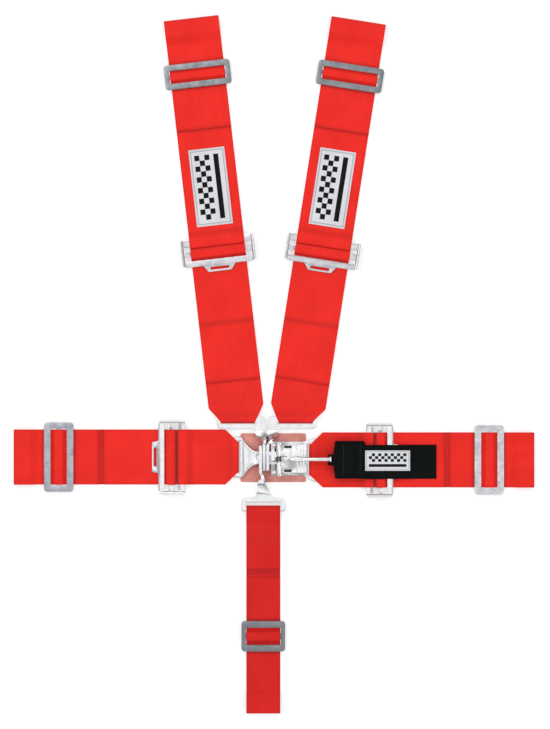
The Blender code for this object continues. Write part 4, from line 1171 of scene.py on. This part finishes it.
def adjuster(side, place):
    """A tilt-lock frame folded from one blank, and its ridged sliding bar. The rear bar's axis is its origin."""
    front, back = BAR_TO_BAR, -REAR_BAR / 2
    root = TAB_ROOT_WIDTH / 2
    tip = (LAP_TAB_TIP_WIDTH if side.endswith("lap") else SHOULDER_TAB_TIP_WIDTH) / 2
    first_fold = FRAME_HALF_WIDTH - FOLD_RADIUS - FRAME_THICK / 2
    quarter = FOLD_RADIUS * math.pi / 2
    second_fold = first_fold + quarter + EAR_WALL
    blank = second_fold + quarter + LIP_WIDTH
    ear_end = back + EAR_LENGTH
    half = [
        (ear_end, -blank, 0.002), (ear_end, -first_fold, 0.0), (front, -first_fold, 0.0015),
        (front, -root, 0.002), (front + TAB_LENGTH, -tip, 0.002),
    ]
    rim = [(back, -blank, 0.002), *half]
    rim += [(x, -y, radius) for x, y, radius in rim[::-1]]
    window = box_outline((REAR_BAR / 2, -first_fold), (front - FRONT_BAR, first_fold), 0.001)
    slot_at = front + 0.0025
    tab_slot = box_outline((slot_at, -TAB_SLOT[1] / 2), (slot_at + TAB_SLOT[0], TAB_SLOT[1] / 2), 0.0015)
    bar_low = SLIDER_LOW - FRAME_MID
    reach = SLIDER_SIZE[0] / 2 + SLIDER_PLAY
    wall_at = first_fold + quarter - FOLD_RADIUS
    slot_low, slot_high = wall_at + bar_low - GAP, wall_at + bar_low + SLIDER_SIZE[2] + GAP
    slot = box_outline((SLIDER_AT - reach, slot_low), (SLIDER_AT + reach, slot_high), 0.0006)
    outlines = [rounded(rim, closed=True), window, tab_slot, slot, [(x, -y) for x, y in slot]]
    mesh = plate(outlines, FRAME_THICK, -FRAME_THICK / 2)
    right_angle = math.pi / 2
    folds = [(first_fold, FOLD_RADIUS, right_angle), (second_fold, FOLD_RADIUS, -right_angle)]

    def fold_up(spot):
        side_at = through_folds(abs(spot.y), spot.z, folds)
        return Vector((spot.x, math.copysign(side_at.x, spot.y), side_at.y))

    lines = spread(first_fold, first_fold + quarter, 7) + spread(second_fold, second_fold + quarter, 7)
    mesh = eased(bent(mesh, 1, lines + [-line for line in lines], fold_up), FRAME_EDGE, 3, 50.0)
    node = f"{side}_adjuster_frame"
    finish = SATIN_CHROME if side.endswith("shoulder") else CHROME
    show(node, moved(mesh, place), finish, f"{side}_adjuster", [node])
    extent = Vector(SLIDER_SIZE) / 2
    bar = fused(
        box(-extent, extent),
        *[
            ("DIFFERENCE", rod((x, -extent.y + 0.012, extent.z + 0.0002), (x, extent.y - 0.012, extent.z + 0.0002),
                               0.0005, sides=8))
            for x in spread(-extent.x + 0.0016, extent.x - 0.0016, 4)
        ],
    )
    bar = eased(bar, SLIDER_EDGE, 3)
    node = f"{side}_slider_bar"
    lift = at(SLIDER_AT, 0.0, bar_low + extent.z)
    show(node, moved(bar, place @ lift), finish, f"{side}_slider", [node])


# ---------------------------------------------------------------- links


def twisted_link(name, body, eye_x, rim, slot, neck_x, twist_run):
    """A link plate cut flat, whose eye is turned upright. Its frame's origin is the eye's axis at height 0."""
    eye = box_outline(
        (neck_x - EYE_SLOT[1] / 2, -EYE_SLOT[0] / 2), (neck_x + EYE_SLOT[1] / 2, EYE_SLOT[0] / 2), 0.0015
    )
    mesh = plate([rim, slot, eye], LINK_THICK, LINK_LOW)
    flat_end, upright_end = twist_run
    rise_end = flat_end + (upright_end - flat_end) * 0.6

    def twist(spot):
        part = smooth((spot.y - flat_end) / (upright_end - flat_end))
        lift = smooth((spot.y - flat_end) / (rise_end - flat_end))
        angle = -part * math.pi / 2
        across, above = spot.x - neck_x, (spot.z - LINK_MID) * (1 + EYE_FULLNESS * part)
        if (spot.y - flat_end) * (upright_end - flat_end) <= 0:
            return spot.copy()
        return Vector(
            (
                neck_x * (1 - part) + across * math.cos(angle) + above * math.sin(angle),
                spot.y,
                LINK_MID + (EYE_Z - LINK_MID) * lift - across * math.sin(angle) + above * math.cos(angle),
            )
        )

    beyond = math.copysign(0.0008, upright_end - flat_end)
    lines = [flat_end - beyond, *spread(flat_end, upright_end, 21), upright_end + beyond]
    mesh = eased(bent(mesh, 1, lines, twist), LINK_EDGE, 4, 50.0)
    return show(name, moved(mesh, at(eye_x, 0.0)), CHROME, body, [name])


def shoulder_link(side, eye_x, fold, way, neck):
    """Frame round the strap's fold, with a neck at its inner end. way points from the eye to the fold."""
    centre = fold[0] - eye_x
    half_slot = SHOULDER_FOLD_WIDTH / 2 + LINK_SLOT_ROOM
    outer = centre + way * (half_slot + SHOULDER_LINK_ARM)
    inner = neck - way * NECK_HALF_WIDTH
    strip_low = fold[1] - LINK_SLOT_ROOM - LINK_BAR
    bar_high = fold[1] + LAYER + LINK_BAR
    rim = rounded(
        [
            (outer, strip_low, 0.006),
            (neck + way * (NECK_HALF_WIDTH + 0.001), strip_low, 0.004),
            (neck + way * EYE_HALF_HEIGHT, strip_low - 0.014, 0.01),
            (neck + way * EYE_HALF_HEIGHT, -EYE_HALF_LENGTH, 0.003),
            (neck - way * EYE_HALF_HEIGHT, -EYE_HALF_LENGTH, 0.003),
            (neck - way * EYE_HALF_HEIGHT, strip_low - 0.014, 0.01),
            (inner, strip_low, 0.008),
            (inner, bar_high + 0.002, 0.006),
            (centre - way * half_slot, bar_high + 0.002, 0.004),
            (centre - way * (half_slot - 0.004), bar_high, 0.004),
            (outer, bar_high, 0.005),
        ],
        closed=True,
    )
    slot_low, slot_high = fold[1] - LINK_SLOT_ROOM, fold[1] + LAYER
    slot = box_outline((centre - half_slot, slot_low), (centre + half_slot, slot_high), 0.001)
    run = (strip_low - 0.001, UPRIGHT_FROM)
    twisted_link(f"{side}_shoulder_link", f"{side}_shoulder", eye_x, rim, slot, neck, run)


def crotch_link(fold):
    """Frame round the crotch strap's fold, with its neck in the middle."""
    centre = fold[0] - CROTCH_EYE_X
    half_slot = CROTCH_WIDTH / 2 + LINK_SLOT_ROOM
    outer = half_slot + LINK_ARM
    room = 0.0043
    strip_high = fold[1] + room + 0.0072
    bar_low = fold[1] - LAYER - LINK_BAR
    rim = rounded(
        [
            (centre - outer, strip_high - 0.001, 0.007),
            (centre - outer, bar_low, 0.004),
            (centre + outer, bar_low, 0.004),
            (centre + outer, strip_high - 0.001, 0.007),
            (centre + 0.0105, strip_high, 0.005),
            (centre + EYE_HALF_HEIGHT, strip_high + 0.018, 0.014),
            (centre + EYE_HALF_HEIGHT, EYE_HALF_LENGTH, 0.003),
            (centre - EYE_HALF_HEIGHT, EYE_HALF_LENGTH, 0.003),
            (centre - EYE_HALF_HEIGHT, strip_high + 0.018, 0.014),
            (centre - 0.0105, strip_high, 0.005),
        ],
        closed=True,
    )
    slot = box_outline((centre - half_slot, fold[1] - LAYER), (centre + half_slot, fold[1] + room), 0.001)
    run = (strip_high + 0.003, -UPRIGHT_FROM)
    twisted_link("crotch_link", "crotch", CROTCH_EYE_X, rim, slot, centre, run)


def lap_link(fold):
    """Flared plate round the left lap strap's fold, stepping up to the tongue, with a rolled rim."""
    half_slot = LAP_FOLD_WIDTH / 2 + LINK_SLOT_ROOM
    outer = half_slot + LINK_ARM
    bar_low = fold[0] - LAYER - LINK_BAR
    slot_high = fold[0] + LINK_SLOT_ROOM
    half = TONGUE_WIDTH / 2
    flare_start, flare_end = slot_high + 0.002, -0.0195
    sweep = [
        (x, half + (outer - half) * (1 - math.sin(math.pi / 2 * part)) ** 1.15)
        for part, x in zip(spread(0.0, 1.0, 21), spread(flare_start, flare_end, 21))
    ]
    upper = [(bar_low, outer - 0.003), (bar_low + 0.001, outer - 0.001), (bar_low + 0.003, outer)] + sweep
    upper += [(TONGUE_END - 0.004, half), (TONGUE_END - 0.001, half - 0.001), (TONGUE_END, half - 0.004)]
    rim = [(x, -y) for x, y in upper] + upper[::-1]

    def beside(x, y):
        return x, y + (fold[1] if x < flare_start + 0.001 else 0.0)

    slot = box_outline((fold[0] - LAYER, fold[1] - half_slot), (slot_high, fold[1] + half_slot), 0.001)
    catch = box_outline((TONGUE_SLOT[0], -TONGUE_SLOT_HALF), (TONGUE_SLOT[1], TONGUE_SLOT_HALF), 0.001)
    mesh = plate([[beside(x, y) for x, y in rim], slot, catch], TONGUE_THICK, LINK_LOW)

    def rise(x):
        return (TONGUE_LOW - LINK_LOW) * smooth((x - TONGUE_STEP[0]) / (TONGUE_STEP[1] - TONGUE_STEP[0]))

    mesh = bent(mesh, 0, spread(*TONGUE_STEP, 19), lambda spot: spot + Vector((0.0, 0.0, rise(spot.x))))
    beads = []
    for way in (-1, 1):
        path = [
            (*beside(x, way * (y - BEAD_INSET)), LINK_LOW + TONGUE_THICK + rise(x))
            for x, y in sweep[1:]
        ]
        beads.append(("UNION", tube(path, BEAD_RADIUS, 12)))
    mesh = eased(fused(mesh, *beads), LAP_LINK_EDGE, 3, 50.0)
    show("lap_link", mesh, CHROME, "left_lap", ["lap_link"])


# ---------------------------------------------------------------- latch


def latch_base():
    """Floor plate with the right lap strap's bar, the tongue's guide, its rest and the pin's ears."""
    half = BASE_HALF_WIDTH
    low = PAD_TOP + GAP
    fold = RIGHT_LAP_FOLD
    half_slot = LAP_FOLD_WIDTH / 2 + LINK_SLOT_ROOM
    arm = half_slot + 0.0075
    slot_start, bar_start = fold[0] - 0.0018, fold[0] + LAYER
    end = bar_start + LINK_BAR + 0.001
    rim = rounded(
        [
            (BASE_START, LATCH_Y - half, 0.002), (slot_start - 0.006, LATCH_Y - half, 0.004),
            (end - 0.004, fold[1] - arm, 0.004), (end, fold[1] - arm, 0.003),
            (end, fold[1] + arm, 0.003), (end - 0.004, fold[1] + arm, 0.004),
            (slot_start - 0.006, LATCH_Y + half, 0.004), (BASE_START, LATCH_Y + half, 0.002),
        ],
        closed=True,
    )
    slot = box_outline((slot_start, fold[1] - half_slot), (bar_start, fold[1] + half_slot), 0.0013)
    base = plate([rim, slot], BASE_THICK, low)
    floor = low + BASE_THICK / 2
    wide = GUIDE_HALF_WIDTH
    guide_end = BASE_START + GUIDE_THICK
    rest_half = TONGUE_WIDTH / 2
    crown = (EAR_X[1] - EAR_X[0]) / 2
    ear_rim = rounded([(EAR_X[0], floor), (EAR_X[1], floor), (EAR_X[1], PIN_Z + crown, crown),
                       (EAR_X[0], PIN_Z + crown, crown)], closed=True)
    hole = PIN_RADIUS + GAP
    bore = [(PIN_X + hole * math.cos(a), PIN_Z + hole * math.sin(a)) for a in spread(0.0, 2 * math.pi, 37)[:-1]]
    steps = [
        ("UNION", box((BASE_START + GAP, LATCH_Y - wide, floor), (guide_end, LATCH_Y + wide, GUIDE_TOP))),
        ("UNION", box((REST_X[0], -rest_half, floor), (REST_X[1], rest_half, TONGUE_LOW - GAP))),
    ]
    for way in (-1, 1):
        ear = plate([ear_rim, bore], EAR_PLATE, -EAR_PLATE / 2)
        ear_y = LATCH_Y + way * (EAR_INNER + EAR_PLATE / 2)
        stand = Matrix.Translation((0.0, ear_y, 0.0)) @ Matrix.Rotation(math.pi / 2, 4, "X")
        steps.append(("UNION", moved(ear, stand)))
    room = TONGUE_WIDTH / 2 + 0.0006
    window = box((BASE_START - 0.002, -room, TONGUE_LOW - GAP), (guide_end + 0.002, room, TONGUE_LOW + 0.0033))
    mesh = eased(fused(base, *steps, ("DIFFERENCE", window)), BASE_EDGE, 3)
    show("latch_base", mesh, CHROME, "latch_side", ["latch_base"])
    # Painted shadow: a dark strip on the base under the hub and spring, where the notch falls in shade
    top = low + BASE_THICK + 0.0004
    painted_shadow_strip = box((guide_end + 0.0006, LATCH_Y - 0.0085, top - 0.0003), (0.0185, LATCH_Y + 0.0135, top + 0.0004))
    show("painted_shadow_under_hub", painted_shadow_strip, SHADOWED, "latch_side", ())


def latch_pin():
    """Hinge pin with a domed head at each end."""
    reach = EAR_INNER + EAR_PLATE + GAP
    pin = rod((PIN_X, LATCH_Y - reach - 0.0002, PIN_Z), (PIN_X, LATCH_Y + reach + 0.0002, PIN_Z), PIN_RADIUS)
    heads = [
        ("UNION", rod((PIN_X, LATCH_Y + way * reach, PIN_Z), (PIN_X, LATCH_Y + way * (reach + 0.0012), PIN_Z),
                      PIN_RADIUS + 0.0014))
        for way in (-1, 1)
    ]
    mesh = eased(fused(pin, *heads), PIN_EDGE, 3)
    show("latch_hinge_pin", mesh, CHROME, "latch_side", ["latch_hinge_pin"])


def latch_lever():
    """Lever on the pin's axis: hub, flat plate with rounded end corners, tooth, rod and cross bar."""
    low = LEVER_LOW - PIN_Z
    end = LEVER_END - PIN_X
    wide = HUB_HALF_WIDTH
    notch = HUB_RADIUS + 0.0012
    rim = rounded(
        [
            (0.0, -wide), (end, -wide, 0.003), (end, wide, 0.003), (0.0, wide),
            (0.0, SPRING_ROOM), (notch, SPRING_ROOM, 0.001), (notch, -SPRING_ROOM, 0.001), (0.0, -SPRING_ROOM),
        ],
        closed=True,
    )
    slot_x, slot_half, slot_wide = LEVER_SLOT_X - PIN_X, LEVER_SLOT[0] / 2, LEVER_SLOT[1] / 2
    slots = [
        box_outline(
            (slot_x - slot_half, way * LEVER_SLOT_OUT - slot_wide),
            (slot_x + slot_half, way * LEVER_SLOT_OUT + slot_wide), slot_wide * 0.98,
        )
        for way in (-1, 1)
    ]
    steps = []
    for way in (-1, 1):
        inner, outer = way * (SPRING_ROOM + GAP), way * (wide + GAP)
        steps.append(("UNION", rod((0.0, inner, 0.0), (0.0, outer, 0.0), HUB_RADIUS, sides=48)))
    tooth_low = (TOOTH[0] - PIN_X, -TOOTH_HALF_WIDTH - LATCH_Y, TOOTH_TIP - PIN_Z)
    tooth_high = (TOOTH[1] - PIN_X, TOOTH_HALF_WIDTH - LATCH_Y, low + LEVER_THICK / 2)
    steps.append(("UNION", box(tooth_low, tooth_high)))
    top = low + LEVER_THICK
    for groove in LEVER_GROOVES:
        x = groove - PIN_X
        cutter = rod((x, -wide - 0.001, top + 0.0003), (x, wide + 0.001, top + 0.0003), GROOVE_RADIUS)
        steps.append(("DIFFERENCE", cutter))
    handle_y = HANDLE_Y - LATCH_Y
    cross_x, cross_z = CROSS_BAR_X - PIN_X, CROSS_BAR_Z - PIN_Z
    steps.append(("UNION", rod((ROD_START, handle_y, cross_z), (cross_x, handle_y, cross_z), ROD_RADIUS)))
    steps.append(("UNION", ball((BOSS_X, handle_y, cross_z), BOSS_SIZE)))
    half = CROSS_BAR_LENGTH / 2
    cross = rod((cross_x, handle_y - half, cross_z), (cross_x, handle_y + half, cross_z), CROSS_BAR_RADIUS)
    steps.append(("UNION", cross))
    steps.append(("DIFFERENCE", rod((0.0, -wide - 0.002, 0.0), (0.0, wide + 0.002, 0.0), PIN_RADIUS + GAP)))
    mesh = eased(fused(plate([rim, *slots], LEVER_THICK, low), *steps), LEVER_EDGE, 3)
    show("latch_lever", moved(mesh, at(PIN_X, LATCH_Y, PIN_Z)), LEVER_CHROME, "lever", ["latch_lever"])
    # Painted shadow: dark strips under the lever's slots, so that the slots read as holes in shade
    slot_shadows = bmesh.new()
    for way in (-1, 1):
        middle = Vector((LEVER_SLOT_X, LATCH_Y + way * (LEVER_SLOT_OUT - 0.0004), LEVER_LOW - 0.0003))
        bmesh.ops.create_cube(
            slot_shadows, size=1.0,
            matrix=Matrix.Translation(middle) @ Matrix.Diagonal((LEVER_SLOT[0] + 0.002, 0.0050, 0.0005, 1.0)),
        )
    show("lever_slot_painted_shadows", as_mesh(slot_shadows), SHADOWED, "lever", ())


def lever_spring():
    """Torsion spring round the pin: its coil and one leg stay with the base, the other leg turns with the lever."""
    pitch = 2 * SPRING_WIRE + GAP
    start_y = LATCH_Y - SPRING_TURNS * pitch / 2
    end_y = start_y + SPRING_TURNS * pitch
    total = SPRING_TURNS + 0.25
    count = int(total * 28)
    leg_z = LEVER_LOW + LEVER_THICK + GAP + SPRING_WIRE
    points = [(BASE_START + 0.001, start_y, GUIDE_TOP + GAP + SPRING_WIRE)]
    for i in range(count + 1):
        angle = math.pi / 2 + 2 * math.pi * i / 28
        points.append(
            (
                PIN_X - SPRING_RADIUS * math.cos(angle),
                start_y + SPRING_TURNS * pitch * i / count,
                PIN_Z + SPRING_RADIUS * math.sin(angle),
            )
        )
    show("lever_spring", tube(points, SPRING_WIRE), SPRING, "latch_side", ["lever_spring"])
    leg = [(*points[-1][:1], end_y, points[-1][2]), (PIN_X + SPRING_RADIUS + 0.004, end_y, leg_z),
           (PIN_X + SPRING_RADIUS + 0.008, end_y, leg_z)]
    show("lever_spring_leg", tube(leg, SPRING_WIRE), SPRING, "lever", ())


def stacked(rings):
    """A closed solid through a stack of outlines, each with its height. All have the same number of corners."""
    bm = bmesh.new()
    rows = [[bm.verts.new((x, y, high)) for x, y in outline] for outline, high in rings]
    for first, second in zip(rows, rows[1:]):
        for k in range(len(first)):
            bm.faces.new((first[k - 1], first[k], second[k], second[k - 1]))
    bm.faces.new(rows[0])
    bm.faces.new(rows[-1])
    bmesh.ops.recalc_face_normals(bm, faces=bm.faces)
    return as_mesh(bm)


def buckle_pad():
    """Leather pad under the buckle, with a pressed border and a row of stitches along it."""
    low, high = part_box("buckle_pad")

    def ring(inside, down):
        corners = (low.x + inside, low.y + inside), (high.x - inside, high.y - inside)
        return box_outline(*corners, max(0.003 - inside, 0.0006)), high.z - down

    thick = high.z - low.z
    # Each outline's inset and depth: the wall, the rounded rim, the pressed border and the top
    profile = [(0.0005, thick), (0.0, thick - 0.0005), (0.0, 0.0006), (0.0002, 0.0002), (0.0006, 0.0),
               (0.0022, 0.0), (0.0027, 0.0003), (0.0037, 0.0003), (0.0042, 0.0), (0.012, 0.0)]
    mesh = stacked([ring(inside, down) for inside, down in profile])
    pad = show("buckle_pad", mesh, LEATHER, "latch_side", ["buckle_pad"])
    inside = 0.0032
    x0, y0, x1, y1 = low.x + inside, low.y + inside, high.x - inside, high.y - inside
    top_z = high.z - 0.0003
    corners = [(x0, y0), (x1, y0), (x1, y1), (x0, y1)]
    rows = [(a, b, top_z) for a, b in zip(corners, corners[1:] + corners[:1])]
    sewn = stitching("buckle_pad_stitching", rows, Matrix(), TAN_THREAD, "latch_side", 0.0034)


def pull_tab():
    """Black webbing folded round the lever's cross bar, with its label. Its origin is the cross bar."""
    near = CROSS_BAR_RADIUS + GAP + TAB_THICK / 2
    low = 0.0125 - CROSS_BAR_Z
    step = TAB_THICK + GAP
    fold_end = PULL_FOLD_END - CROSS_BAR_X
    end = PULL_END - CROSS_BAR_X
    rest = 0.0041 - CROSS_BAR_Z
    neck_end, shoulder = 0.004, 0.0065
    place = at(CROSS_BAR_X, HANDLE_Y, CROSS_BAR_Z)
    route = [
        (fold_end, low), (shoulder, low), (neck_end, -near),
        (-near, -near, near * 0.98), (-near, near, near * 0.98), (0.003, near, 0.006),
        (shoulder, near + (low + step - near) * 0.32),
        (0.014, low + step, 0.008), (fold_end + 0.004, low + step, 0.006),
        (fold_end + 0.012, low, 0.008), (0.073, low, 0.03), (0.118, rest, 0.03), (end, rest),
    ]

    def width_at(x):
        if x > fold_end + 0.002:
            return PULL_WIDTH
        opened = smooth((x - neck_end) / (shoulder - neck_end))
        return PULL_NECK_WIDTH + (PULL_FOLD_WIDTH - PULL_NECK_WIDTH) * opened

    def side_at(x):
        return -0.0009 if x < fold_end + 0.002 else -0.004

    path = rounded(route)
    slit = ROD_RADIUS + GAP * 2
    reach = 2 * near
    mesh = fused(
        ribbon(path, width_at, Matrix(), side_at=side_at, thick=TAB_THICK),
        ("DIFFERENCE", box((-reach, -slit, -slit), (0.0, slit, near / 2))),
        ("DIFFERENCE", box((-reach, -slit, 0.0), (slit, slit, reach))),
    )
    mesh.set_sharp_from_angle(angle=math.radians(60))
    tab = show("pull_tab", moved(mesh, place), BLACK, "pull_tab_group", ["pull_tab"])
    edge = PULL_FOLD_WIDTH / 2 - 0.004
    top = low + step + TAB_THICK / 2
    rows = []
    for x in (0.018, fold_end - 0.004):
        rows.append(((x, -edge), (x, edge), top))
    sewn = stitching("pull_tab_stitching", rows, place, BLACK_THREAD, "pull_tab_group")
    label_start, label_end = (x - CROSS_BAR_X for x in PULL_LABEL)
    lift = TAB_THICK / 2 + GAP + LABEL_THICK / 2
    upper = [p for p in path if label_start < p.x < label_end and path.index(p) > len(path) // 3]
    ends = [Vector((label_start, low + step)), Vector((label_end, upper[-1].y))]
    line = [ends[0], *upper, ends[1]]
    cover = []
    for before, spot, after in zip([line[0], *line], line, [*line[1:], line[-1]]):
        run = (after - before).normalized()
        cover.append(spot + Vector((-run.y, run.x)) * lift)
    half = length_of(cover) / 2
    mesh = ribbon(cover, steady(PULL_LABEL_WIDTH), place, side_at=lambda x: -0.002, thick=LABEL_THICK, start=-half)
    label = show("pull_tab_label", mesh, TAB_LABEL, "pull_tab_group", ["pull_tab_label"])


LABEL_THREAD = thread_finish("label_thread", (0.45, 0.45, 0.47), (0.75, 0.75, 0.78))


def whole_harness():
    """Every piece."""
    buckle_pad()
    latch_base()
    latch_pin()
    lever_spring()
    latch_lever()
    pull_tab()
    lap_link(LEFT_LAP_FOLD)
    lap_strap("right", "latch_side", RIGHT_LAP_FOLD, 0.0, BASE_THICK)
    lap_strap("left", "left_lap", LEFT_LAP_FOLD, math.pi, TONGUE_THICK)
    shoulder_link("left", LEFT_EYE_X, LEFT_SHOULDER_FOLD, -1, -0.0178 - LEFT_EYE_X)
    shoulder_link("right", RIGHT_EYE_X, RIGHT_SHOULDER_FOLD, 1, -0.0005 - RIGHT_EYE_X)
    shoulder_strap("left", LEFT_SHOULDER_FOLD, LEFT_LEAN)
    shoulder_strap("right", RIGHT_SHOULDER_FOLD, -RIGHT_LEAN)
    crotch_link(CROTCH_FOLD)
    crotch_strap(CROTCH_FOLD)


# ---------------------------------------------------------------- floor, light and camera


def stage():
    """A plain pale floor under a white sky with a dark ring, and two soft lights, seen from straight above."""
    bm = bmesh.new()
    bmesh.ops.create_grid(bm, x_segments=1, y_segments=1, size=3.0)
    floor = bpy.data.objects.new("floor", as_mesh(bm))
    floor.location = (0.0, 0.13, -0.0002)
    bpy.context.scene.collection.objects.link(floor)
    pale = bpy.data.materials.new("pale_floor")
    pale.use_nodes = True
    feed(pale.node_tree, pale.node_tree.nodes["Principled BSDF"], {
        "Base Color": (0.55, 0.55, 0.55, 1.0),
        "Roughness": 0.9,
        "Emission Color": (1.0, 1.0, 1.0, 1.0),
        "Emission Strength": 0.5,
        "Specular IOR Level": 0.1,
    })
    floor.data.materials.append(pale)
    world = bpy.data.worlds.new("studio")
    bpy.context.scene.world = world
    world.use_nodes = True
    tree = world.node_tree
    _, less, times = sums(tree)
    sky = tree.nodes["Background"]
    place = tree.nodes.new("ShaderNodeTexCoord")
    height = parts_of(tree, place.outputs["Generated"])[2]
    share = remap(tree, height, 0.0, 0.72)
    # The ring near the zenith gives flat metal something dark to reflect
    ring = less(remap(tree, height, 0.90, 0.93), remap(tree, height, 0.965, 0.985))
    share = times(share, less(1.0, times(ring, 0.72)))
    tree.links.new(tint(tree, share, (0.07, 0.073, 0.08), (1.0, 1.0, 1.0)), sky.inputs["Color"])
    sky.inputs["Strength"].default_value = 1.15
    for name, spot, size, power in (
        ("key_light", (-0.9, 1.1, 1.9), 1.6, 12.0),
        ("fill_light", (1.3, -0.6, 1.7), 1.4, 5.0),
    ):
        lamp = bpy.data.lights.new(name, "AREA")
        lamp.shape = "SQUARE"
        lamp.size = size
        lamp.energy = power
        holder = bpy.data.objects.new(name, lamp)
        holder.location = spot
        aim = Vector((0.0, 0.13, 0.0)) - Vector(spot)
        holder.rotation_euler = aim.to_track_quat("-Z", "Y").to_euler()
        bpy.context.scene.collection.objects.link(holder)
    lens = bpy.data.cameras.new("camera")
    lens.lens = 100.0
    lens.sensor_width = 36.0
    lens.clip_start = 0.05
    camera = bpy.data.objects.new("camera", lens)
    camera.location = (0.0025, 0.1292, 2.809)
    bpy.context.scene.collection.objects.link(camera)
    bpy.context.scene.camera = camera
    bpy.context.scene.view_settings.view_transform = "Standard"


stage()
whole_harness()
